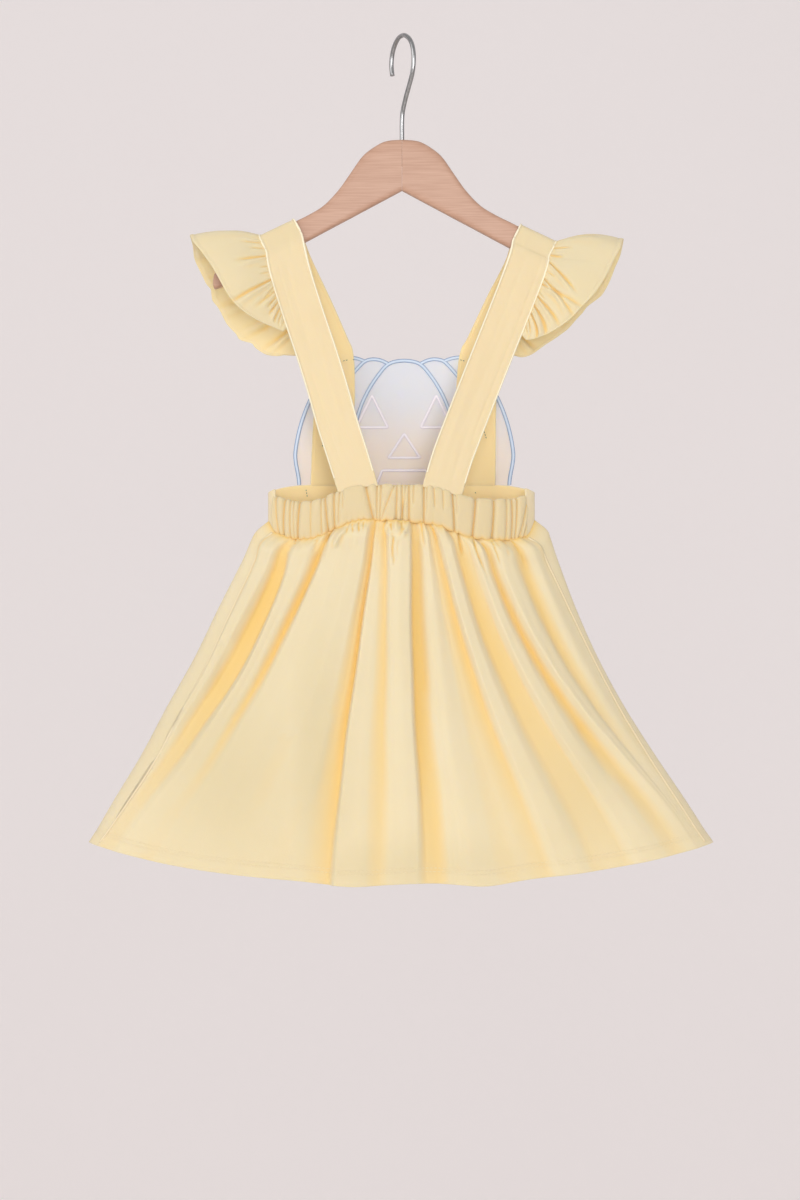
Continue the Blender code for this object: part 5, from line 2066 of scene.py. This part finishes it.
    left_edge: Rows = (
        # across, depth, height
        (-0.0862, 0.0145, -0.2745),
        (-0.0960, 0.0190, -0.2738),
        (-0.1096, 0.0225, -0.2745),
        (-0.1291, 0.0250, -0.2668),
        (-0.1529, 0.0265, -0.2473),
        (-0.1659, 0.0250, -0.2229),
        (-0.1786, 0.0190, -0.1957),
        (-0.1822, 0.0110, -0.1795),
        (-0.1827, 0.0000, -0.1723),
        (-0.1800, -0.0110, -0.1800),
        (-0.1643, -0.0185, -0.2001),
        (-0.1484, -0.0225, -0.2276),
        (-0.1354, -0.0225, -0.2405),
        (-0.1210, -0.0190, -0.2488),
        (-0.1100, -0.0170, -0.2535),
        (-0.1035, -0.0155, -0.2565),
    )
    right_edge: Rows = (
        # across, depth, height
        (0.0965, 0.0135, -0.2745),
        (0.1065, 0.0190, -0.2752),
        (0.1211, 0.0235, -0.2685),
        (0.1380, 0.0250, -0.2560),
        (0.1606, 0.0235, -0.2345),
        (0.1787, 0.0200, -0.2150),
        (0.1870, 0.0160, -0.1953),
        (0.1915, 0.0100, -0.1810),
        (0.1923, 0.0000, -0.1757),
        (0.1895, -0.0100, -0.1830),
        (0.1818, -0.0150, -0.1962),
        (0.1710, -0.0200, -0.2169),
        (0.1578, -0.0230, -0.2336),
        (0.1413, -0.0240, -0.2493),
        (0.1259, -0.0220, -0.2590),
        (0.1149, -0.0190, -0.2630),
        (0.1080, -0.0160, -0.2640),
    )

    def root(self) -> tuple[Grid, Grid]:
        """The strap's outer edge between the ruffle's ends.

        Returns:
            Its points, and the unit ways out from the strap.
        """
        sign = self.strap.side.value
        edge = self.strap.middle((sign,), sign * SEAM_GAP)[:, 0]
        edge = np.hstack([edge, edge - self.strap.middle((0.5 * sign,))[:, 0]])
        edge = curve_through(edge, 361)
        top = int(np.argmax(edge[:, 2]))
        front = np.interp(self.front_start, edge[:top + 1, 2], np.arange(top + 1))
        end = self.left_end if sign < 0 else self.right_end
        back = np.interp(-end, -edge[top:, 2], np.arange(top, len(edge)))
        place = np.linspace(front, back, self.columns)
        root = even_steps(read_at(place, np.arange(len(edge)), edge), self.columns)
        return root[:, :3], unit(root[:, 3:])

    def base(self) -> tuple[Grid, Grid]:
        """The ruffle's middle surface without its gathers.

        Returns:
            Its points, and its normals turned square to the strap near the root.
        """
        sign = self.strap.side.value
        root, beside = self.root()
        edge = even_steps(curve_through(self.left_edge if sign < 0 else self.right_edge, 600), self.columns)
        along = np.linspace(0, 1, self.columns)
        out = np.linspace(0, 1, self.rows)[:, None]
        base = root[None] + (edge - root)[None] * out[..., None]
        steps = self.left_steps if sign < 0 else self.right_steps
        reach = sum(far * 0.001 * np.exp(-((along - place) / wide) ** 2) for place, wide, far in steps)
        base = base + unit(edge - root)[None] * (reach[None] * out ** 3)[..., None]
        base[..., 2] += self.crown * np.exp(-((along - 0.5) / 0.10) ** 2) * np.sin(np.pi * out)
        base[..., 1] += self.belly * np.sin(np.pi * out) * np.sin(2 * np.pi * along)
        normal = grid_normals(base)
        if np.mean(normal[..., 2]) < 0:
            normal = -normal
        toward = np.sum(normal * beside[None], axis=2) * (1 - smooth(out / self.root_share))
        return base, unit(normal - toward[..., None] * beside[None])

    def gathered(self, along: Grid, out: Grid, length: Grid) -> Grid:
        """Relief of the gathers.

        Each is a trough that widens from the root to its reach with a lower ridge on the side
        it leans to; close to the root come fine puckers, a sine whose phase wanders.

        Args:
            along: places along the root, 0 to 1.
            out: column of places out from the root, 0 to 1.
            length: the ruffle's length at each of those places.

        Returns:
            Relief in metres.
        """
        left = self.strap.side is Side.LEFT
        total = np.zeros((len(out), len(along)))
        for first, last, reach, deep, thin, thick, lean in self.left_gathers if left else self.right_gathers:
            share = np.clip(out / reach, 0, 1.4)
            centre = first + (last - first) * share ** 0.8
            wide = (thin + (thick - thin) * share) * 0.001
            side = (along[None] - centre) * length / wide
            fade = smooth(out / 0.03) * smooth((1.35 - out / reach) / 0.8)
            ridge = self.beside * np.exp(-((side - 1.9 * lean) / 1.5) ** 2)
            total += deep * self.gather_scale * fade * (ridge - np.exp(-side ** 2))
        phase = 2 * np.pi * (self.puckers * along + 0.35 * np.sin(2 * np.pi * 3.7 * along))
        return total + self.pucker * np.exp(-out / self.pucker_reach) * smooth(out / 0.02) * np.sin(phase)

    def build(self, palette: dict[Slot, bpy.types.Material]) -> None:
        """Args:
            palette: a material for each slot.
        """
        base, normal = self.base()
        along = np.linspace(0, 1, self.columns)
        out = np.linspace(0, 1, self.rows)[:, None]
        root, rim = run_lengths(base[0])[-1], run_lengths(base[-1])[-1]
        ends = smooth(along / self.end_fade) * smooth((1 - along) / self.end_fade)
        height = self.gathered(along, out, root + (rim - root) * out)
        hem = self.hem_rise * (smooth((out - self.hem_place) / 0.02)
                               - 0.8 * np.exp(-((out - self.hem_place) / 0.012) ** 2))
        height = height * (0.25 + 0.75 * ends) + hem
        outer = base + normal * (self.wall + height)[..., None]
        inner = pushed_in(outer, -normal, self.wall)
        far = along[None] * (root + (rim - root) * out)
        # painted shade: golden in the gathers' troughs and at the root on the outer face, in the gathers, at
        # the root and on the front half of the inner face; a duller colour over the outer face; painted light
        # on the inner face of the front half
        deep = sunken(height, far, self.fold_reach, self.fold_full)
        front = smooth((0.5 - along) / 0.04)[None]
        close = self.root_share_shaded * np.exp(-out / self.root_shade)
        behind = np.maximum(np.maximum(sunken(-height, far, self.fold_reach, self.fold_full),
                                       self.behind_shade * front), close)
        name = self.strap.side.name.lower()
        level = 0 * height
        piece = closed_shell(f"ruffle_{name}_cloth", outer, inner, tints={
            PAINTED_SHADE_LAYER: (self.fold_share * np.maximum(deep, close), self.fold_share * behind),
            DULL_AND_SHADE_LAYER: (level + self.dulled, level),
            LIT_LAYER: (level, level + self.lit * front),
        })
        dress_piece(piece, palette[Slot.YELLOW], (f"ruffle_{name}",))
        line = int(round((self.hem_place - 0.01) * (self.rows - 1)))
        stitches = stitch_row(f"ruffle_{name}_hem_stitches", even_steps(outer[line], self.stitch_points),
                              curve_through(normal[line], self.stitch_points), *self.stitch)
        dress_piece(stitches, palette[Slot.THREAD])


# Bib


@dataclass
class Bib:
    """Five-lobed bib with satin cords round its lobes and a simple face in satin lines."""

    strap: Strap
    wall: float = 0.0014
    solid_wall: float = 0.0016
    widest_share: float = 0.27
    centre: float = 0.0020
    lobe_crown: float = 0.0028
    rows: int = 110
    lobe_columns: int = 40
    cord_half_width: float = 0.0017
    cord_height: float = 0.0009
    flat: tuple[float, float] = (0.20, 0.115)
    face_half_width: float = 0.0013
    face: tuple[tuple[bool, Rows], ...] = (
        # closed or not, corners as across and height
        (True, ((-0.0263, -0.3095), (-0.0400, -0.3375), (-0.0125, -0.3375))),
        (True, ((0.0303, -0.3095), (0.0165, -0.3375), (0.0440, -0.3375))),
        (True, ((0.0020, -0.3430), (-0.0120, -0.3640), (0.0160, -0.3640))),
        (False, ((-0.0225, -0.3880), (-0.0175, -0.3752), (0.0215, -0.3752), (0.0265, -0.3880))),
    )
    # heights where the painted shade on the bib's lower part starts and where it is full
    shade_heights: tuple[float, float] = (-0.3050, -0.3700)
    arch_points: int = 40
    arch_blur: int = 9
    cord_points: int = 420
    face_points: int = 240
    face_blur: int = 4
    area_share: float = 0.85
    arches: tuple[tuple[str, int, int, float], ...] = (
        # name, lobe line at its start and its end, how much it stands over the others
        ("left_lobe", 0, 1, 0.0),
        ("right_lobe", 4, 5, 0.0),
        ("left_inner_lobe", 1, 2, 0.0002),
        ("right_inner_lobe", 3, 4, 0.0002),
        ("centre_lobe", 2, 3, 0.0004),
    )
    lines: Rows = (
        # top across, top height, widest, foot, roundness
        (0.0145, -0.2820, 0.0470, 0.0450, 3.0),
        (0.0350, -0.2800, 0.0720, 0.0700, 3.0),
        (0.0600, -0.2790, 0.0968, 0.0920, 2.4),
    )

    def line(self, row: Grid, up: Grid | float) -> Grid:
        """Where a lobe line stands.

        Args:
            row: the line's entry in the table.
            up: share of the way up.

        Returns:
            Distances from the middle.
        """
        top, _, widest, foot, roundness = row
        spread = top + (widest - top) * (1 - up ** roundness)
        return spread + (foot - widest) * smooth(1 - up / self.widest_share)

    def surface(self, place: Grid, ups: Grid) -> Grid:
        """Points of the bib's inner face.

        A place's whole number is the lobe line from the left outline and its fraction the share
        of the lobe; across follows the lobe lines, and each lobe's top is a low arch.

        Args:
            place: lobe places, 0 to 5.
            ups: shares of the way up.

        Returns:
            A grid of points.
        """
        foot = self.strap.ring.front_top + SEAM_GAP
        lines = np.array([self.lines[k] for k in (2, 1, 0, 0, 1, 2)])
        signs = np.array([-1, -1, -1, 1, 1, 1])
        number = np.arange(len(lines))
        share = place - np.floor(place)
        top = np.interp(place, number, lines[:, 1]) + self.lobe_crown * 4 * share * (1 - share)
        rows = []
        for up in ups:
            across = self.centre + np.interp(place, number, signs * self.line(lines.T, up))
            rows.append(np.stack([across, 0 * across, foot + (top - foot) * up], axis=1))
        grid = np.array(rows)
        grid[..., 1] = self.strap.sheet_depth(grid[..., 0], grid[..., 2]) + SEAM_GAP / 2
        return grid

    def cord(self, name: str, path: Grid, half_width: float, closed: bool = False,
             rise: float = 0.0) -> bpy.types.Object:
        """A satin line through the cloth, showing on both faces.

        Args:
            name: the line's name.
            path: points on the inner face.
            half_width: half of its width.
            closed: whether it joins its start.
            rise: how much thicker it is than the others on each face.

        Returns:
            The line's mesh object.
        """
        up = depthways(path)
        height = self.wall / 2 + self.cord_height / 2 + rise
        return swept(name, path + up * self.wall / 2, up, half_width, height, 12, closed, 0.8)

    def on_face(self, flat: Grid) -> Grid:
        """Points of the inner face at places given as across and height."""
        depth = self.strap.sheet_depth(flat[:, 0], flat[:, 1]) + SEAM_GAP / 2
        return np.stack([flat[:, 0], depth, flat[:, 1]], axis=1)

    def build(self, palette: dict[Slot, bpy.types.Material]) -> None:
        """Build the cloth, its cords and the face.

        Args:
            palette: a material for each slot.
        """
        place = np.linspace(0, 5, 5 * self.lobe_columns + 1)
        ups = np.linspace(0, 1, self.rows)
        inner = self.surface(place, ups)
        # painted shade, darker and warmer towards the bottom, on the face towards the back of the dress
        high, low = self.shade_heights
        low_shade = smooth((inner[..., 2] - high) / (low - high))
        cloth = closed_shell("bib_cloth", inner + depthways(inner, self.wall), inner,
                             tints={PAINTED_SHADE_LAYER: (0 * low_shade, low_shade)})
        dress_piece(cloth, palette[Slot.BIB], ("bib",))
        for label, first, last, rise in self.arches:
            sides = [self.surface(np.array([float(number)]), ups)[:, 0] for number in (first, last)]
            top = self.surface(np.linspace(first, last, self.arch_points), ups[-1:])[0]
            parts = ([sides[0][:-1]] if first < 3 else []) + [top] + ([sides[1][-2::-1]] if last > 2 else [])
            line = rounded_path(np.vstack(parts), self.cord_points, self.arch_blur, False)
            cord = self.cord(f"bib_{label}_cord", line, self.cord_half_width, rise=rise)
            dress_piece(cord, palette[Slot.BLUE])
        for number, (closed, corners) in enumerate(self.face, 1):
            path = self.on_face(rounded_path(corners, self.face_points, self.face_blur, closed))
            line = self.cord(f"bib_face_line_{number}", path, self.face_half_width, closed)
            dress_piece(line, palette[Slot.PALE])


@dataclass
class ThreadMarks:
    """Small green thread ends on the inside of the front straps and waistband."""

    strap: Strap
    lift: float = 0.0004
    band_wall: float = 0.0018
    points: int = 20
    stitch: tuple[float, float, float] = (0.0024, 0.0016, 0.00030)
    rows: Rows = (
        # start across and height, end across and height, 1 on the band and 0 on a strap; mm
        (-52.6, -280.4, -45.9, -278.6, 0.0),
        (-44.2, -279.4, -39.6, -277.8, 0.0),
        (49.7, -278.6, 56.3, -280.6, 0.0),
        (-70.0, -349.5, -69.5, -357.0, 0.0),
        (70.9, -338.0, 74.2, -349.0, 0.0),
        (-84.2, -391.0, -82.8, -399.5, 1.0),
        (63.0, -393.5, 66.5, -397.0, 1.0),
    )

    def build(self, palette: dict[Slot, bpy.types.Material]) -> None:
        """Build each mark as a short row of stitches.

        Args:
            palette: a material for each slot.
        """
        for number, (x0, z0, x1, z1, band) in enumerate(self.rows, 1):
            flat = np.linspace((x0, z0), (x1, z1), self.points) * 0.001
            if band:
                depth = self.strap.ring.waist_depth(flat[:, 0], 1) - self.band_wall
            else:
                depth = self.strap.sheet_depth(flat[:, 0], flat[:, 1]) - SEAM_GAP / 2 - self.strap.solid_wall
            path = np.stack([flat[:, 0], depth - self.lift, flat[:, 1]], axis=1)
            mark = stitch_row(f"green_thread_mark_{number}", path, depthways(path, -1.0), *self.stitch)
            dress_piece(mark, palette[Slot.GREEN])


# Hanger


@dataclass
class HangerArm:
    """One wooden half of the hanger with softly rounded edges."""

    side: Side
    half_thickness: float = 0.0060
    rings: int = 90
    round_sides: int = 40
    fullness: float = 0.42
    end_ring: float = 0.0002

    @staticmethod
    def profile() -> Grid:
        """Edge lines of the arm.

        Returns:
            Rows of distance from the middle, top edge and bottom edge.
        """
        return np.array((
            (0.00006, -0.0888, -0.1331),
            (0.0100, -0.0894, -0.1384),
            (0.0180, -0.0916, -0.1427),
            (0.0287, -0.0983, -0.1484),
            (0.0360, -0.1053, -0.1523),
            (0.0455, -0.1190, -0.1574),
            (0.0556, -0.1331, -0.1627),
            (0.0680, -0.1460, -0.1693),
            (0.0810, -0.1541, -0.1763),
            (0.0955, -0.1613, -0.1840),
            (0.1100, -0.1687, -0.1918),
            (0.1220, -0.1744, -0.1982),
            (0.1340, -0.1800, -0.2046),
            (0.1460, -0.1880, -0.2110),
            (0.1560, -0.1975, -0.2163),
            (0.1625, -0.2050, -0.2185),
            (0.1640, -0.2105, -0.2160),
        ))

    @staticmethod
    def top_line(across: Grid | float) -> Grid:
        """Height of the arm's top edge at a distance from the middle."""
        table = HangerArm.profile()
        return np.interp(np.abs(across), table[:, 0], table[:, 1])

    @staticmethod
    def low_line(across: Grid | float) -> Grid:
        """Height of the arm's bottom edge at a distance from the middle."""
        table = HangerArm.profile()
        return np.interp(np.abs(across), table[:, 0], table[:, 2])

    def build(self, material: bpy.types.Material) -> None:
        """Build the arm: a rounded oblong section between its edge lines.

        Args:
            material: the arm's wood.
        """
        table = curve_through(self.profile(), self.rings - 1)
        table = np.vstack([table[:1], table[:1] + np.array([self.end_ring, 0.0, 0.0]), table[1:]])
        turns = 2 * np.pi * np.arange(self.round_sides) / self.round_sides
        wide, high = fuller(np.cos(turns), self.fullness), fuller(np.sin(turns), self.fullness)
        across = np.broadcast_to(table[:, :1], (self.rings, self.round_sides))
        middle = (table[:, 1:2] + table[:, 2:3]) / 2
        half = (table[:, 1:2] - table[:, 2:3]) / 2
        rings = np.stack([self.side.value * across, self.half_thickness * wide[None] + 0 * across,
                          middle + half * high[None]], axis=-1)
        count, sides = self.rings, self.round_sides
        index = np.arange(count * sides).reshape(count, sides)
        following = np.roll(index, -1, axis=1)
        quads = np.stack([index[:-1], following[:-1], following[1:], index[1:]], axis=-1).reshape(-1, 4)
        caps = [list(range(sides - 1, -1, -1)), list(range((count - 1) * sides, count * sides))]
        name = self.side.name.lower()
        arm = make_mesh(f"hanger_arm_{name}_wood", rings.reshape(-1, 3), quads, caps)
        dress_piece(arm, material, (f"hanger_arm_{name}",))


@dataclass
class Hook:
    """Round wire hook, its shank in the hanger's top."""

    radius: float = 0.0020
    turn: float = 28.0
    steps: int = 160
    sides: int = 24
    path: Rows = (
        # out from the shank, height
        (0.0000, -0.1120),
        (0.0000, -0.0880),
        (0.0000, -0.0720),
        (0.0018, -0.0630),
        (0.0072, -0.0525),
        (0.0130, -0.0435),
        (0.0194, -0.0325),
        (0.0214, -0.0210),
        (0.0194, -0.0105),
        (0.0138, -0.0032),
        (0.0060, 0.0012),
        (0.0000, 0.0020),
        (-0.0070, 0.0006),
        (-0.0140, -0.0048),
        (-0.0184, -0.0125),
        (-0.0196, -0.0215),
        (-0.0180, -0.0300),
    )

    def build(self, material: bpy.types.Material) -> None:
        """Build the wire.

        Args:
            material: its steel.
        """
        flat = even_steps(curve_through([(out, 0.0, height) for out, height in self.path], 600), self.steps)
        turn = math.radians(self.turn)
        path = np.stack([flat[:, 0] * math.sin(turn), -flat[:, 0] * math.cos(turn), flat[:, 2]], axis=1)
        up = np.broadcast_to([math.cos(turn), math.sin(turn), 0.0], path.shape)
        hook = swept("hanger_hook_wire", path, up, self.radius, self.radius, self.sides)
        dress_piece(hook, material, ("hanger_hook",))


# Surroundings


@dataclass
class Studio:
    """Plain wall and floor, soft light and the camera."""

    wall_depth: float = 3.9
    floor_height: float = -1.95
    camera_place: tuple[float, float, float] = (-0.00174, -2.6, -0.48894)
    frame_height: float = 1.044
    half_room: float = 9.0
    wall_top: float = 6.0
    wall_glow: float = 0.25
    world_strength: float = 0.52
    aim: tuple[float, float, float] = (0.0, 0.0, -0.45)
    light_colour: tuple[float, float, float] = (1.0, 0.985, 0.975)
    key_colour: tuple[float, float, float] = (1.0, 0.985, 0.97)
    wall_colour: tuple[float, float, float] = (0.815, 0.770, 0.775)
    floor_colour: tuple[float, float, float] = (0.80, 0.76, 0.73)

    def plane(self, name: str, corners: Rows, finish: PlainFinish) -> None:
        """One flat stage surface.

        Args:
            name: its name.
            corners: its four corners in order.
            finish: its paint.
        """
        mesh = bpy.data.meshes.new(name)
        mesh.from_pydata([list(corner) for corner in corners], [], [[0, 1, 2, 3]])
        surface = bpy.data.objects.new(name, mesh)
        bpy.context.collection.objects.link(surface)
        mesh.materials.append(finish.make())

    def light(self, name: str, place: tuple[float, float, float], aim: tuple[float, float, float],
              size: float, power: float, colour: tuple[float, float, float]) -> None:
        """One square soft box.

        Args:
            name: its name.
            place: where it stands.
            aim: the point that it faces.
            size: its side.
            power: its power in watts.
            colour: the colour of its light.
        """
        lamp = bpy.data.lights.new(name, "AREA")
        lamp.size = size
        lamp.energy = power
        lamp.color = colour
        thing = bpy.data.objects.new(name, lamp)
        bpy.context.collection.objects.link(thing)
        way = np.array(aim) - np.array(place)
        thing.location = place
        thing.rotation_euler = (math.acos(-way[2] / np.linalg.norm(way)), 0.0,
                                math.atan2(way[0], -way[1]) + math.pi)

    def build(self) -> None:
        """Build the stage, the lights, the world and the camera."""
        y, z = self.wall_depth, self.floor_height
        side, top = self.half_room, self.wall_top
        self.plane("studio_wall", ((-side, y, z), (side, y, z), (side, y, top), (-side, y, top)),
                   PlainFinish("wall_paint", self.wall_colour, self.wall_glow))
        self.plane("studio_floor", ((-side, -side, z), (side, -side, z), (side, y, z), (-side, y, z)),
                   PlainFinish("floor_paint", self.floor_colour))
        self.light("key_softbox", (-2.6, -2.2, 0.9), self.aim, 3.0, 45.0, self.key_colour)
        self.light("fill_softbox", (0.4, -3.3, -0.2), self.aim, 1.8, 54.0, self.light_colour)
        world = bpy.data.worlds.new("studio_world")
        world.use_nodes = True
        sky = world.node_tree.nodes["Background"].inputs
        sky["Color"].default_value = (*self.light_colour, 1.0)
        sky["Strength"].default_value = self.world_strength
        scene = bpy.context.scene
        scene.world = world
        scene.view_settings.view_transform = "Standard"
        lens = bpy.data.cameras.new("camera")
        lens.sensor_fit = "VERTICAL"
        lens.sensor_width = 36.0
        lens.sensor_height = 36.0
        lens.lens = 36.0 * -self.camera_place[1] / self.frame_height
        camera = bpy.data.objects.new("camera", lens)
        camera.location = self.camera_place
        camera.rotation_euler = (math.pi / 2, 0.0, 0.0)
        bpy.context.collection.objects.link(camera)
        scene.camera = camera


def main() -> None:
    """Build the classes in order, reporting each piece."""
    logging.basicConfig(level=logging.INFO, format="%(message)s")
    palette = Palette().make()
    ring = WaistRing()
    for side in Side:
        wood = WoodFinish(f"hanger_wood_{side.name.lower()}", side.value * GRAIN_LEAN)
        HangerArm(side).build(wood.make())
    Hook().build(palette[Slot.STEEL])
    Skirt(ring).build(palette)
    Waistband(ring).build(palette)
    straps = {side: Strap(ring, side) for side in Side}
    for strap in straps.values():
        strap.build(palette)
        Ruffle(strap).build(palette)
    Bib(straps[Side.LEFT]).build(palette)
    ThreadMarks(straps[Side.LEFT]).build(palette)
    Studio().build()


if __name__ == "__main__":
    main()
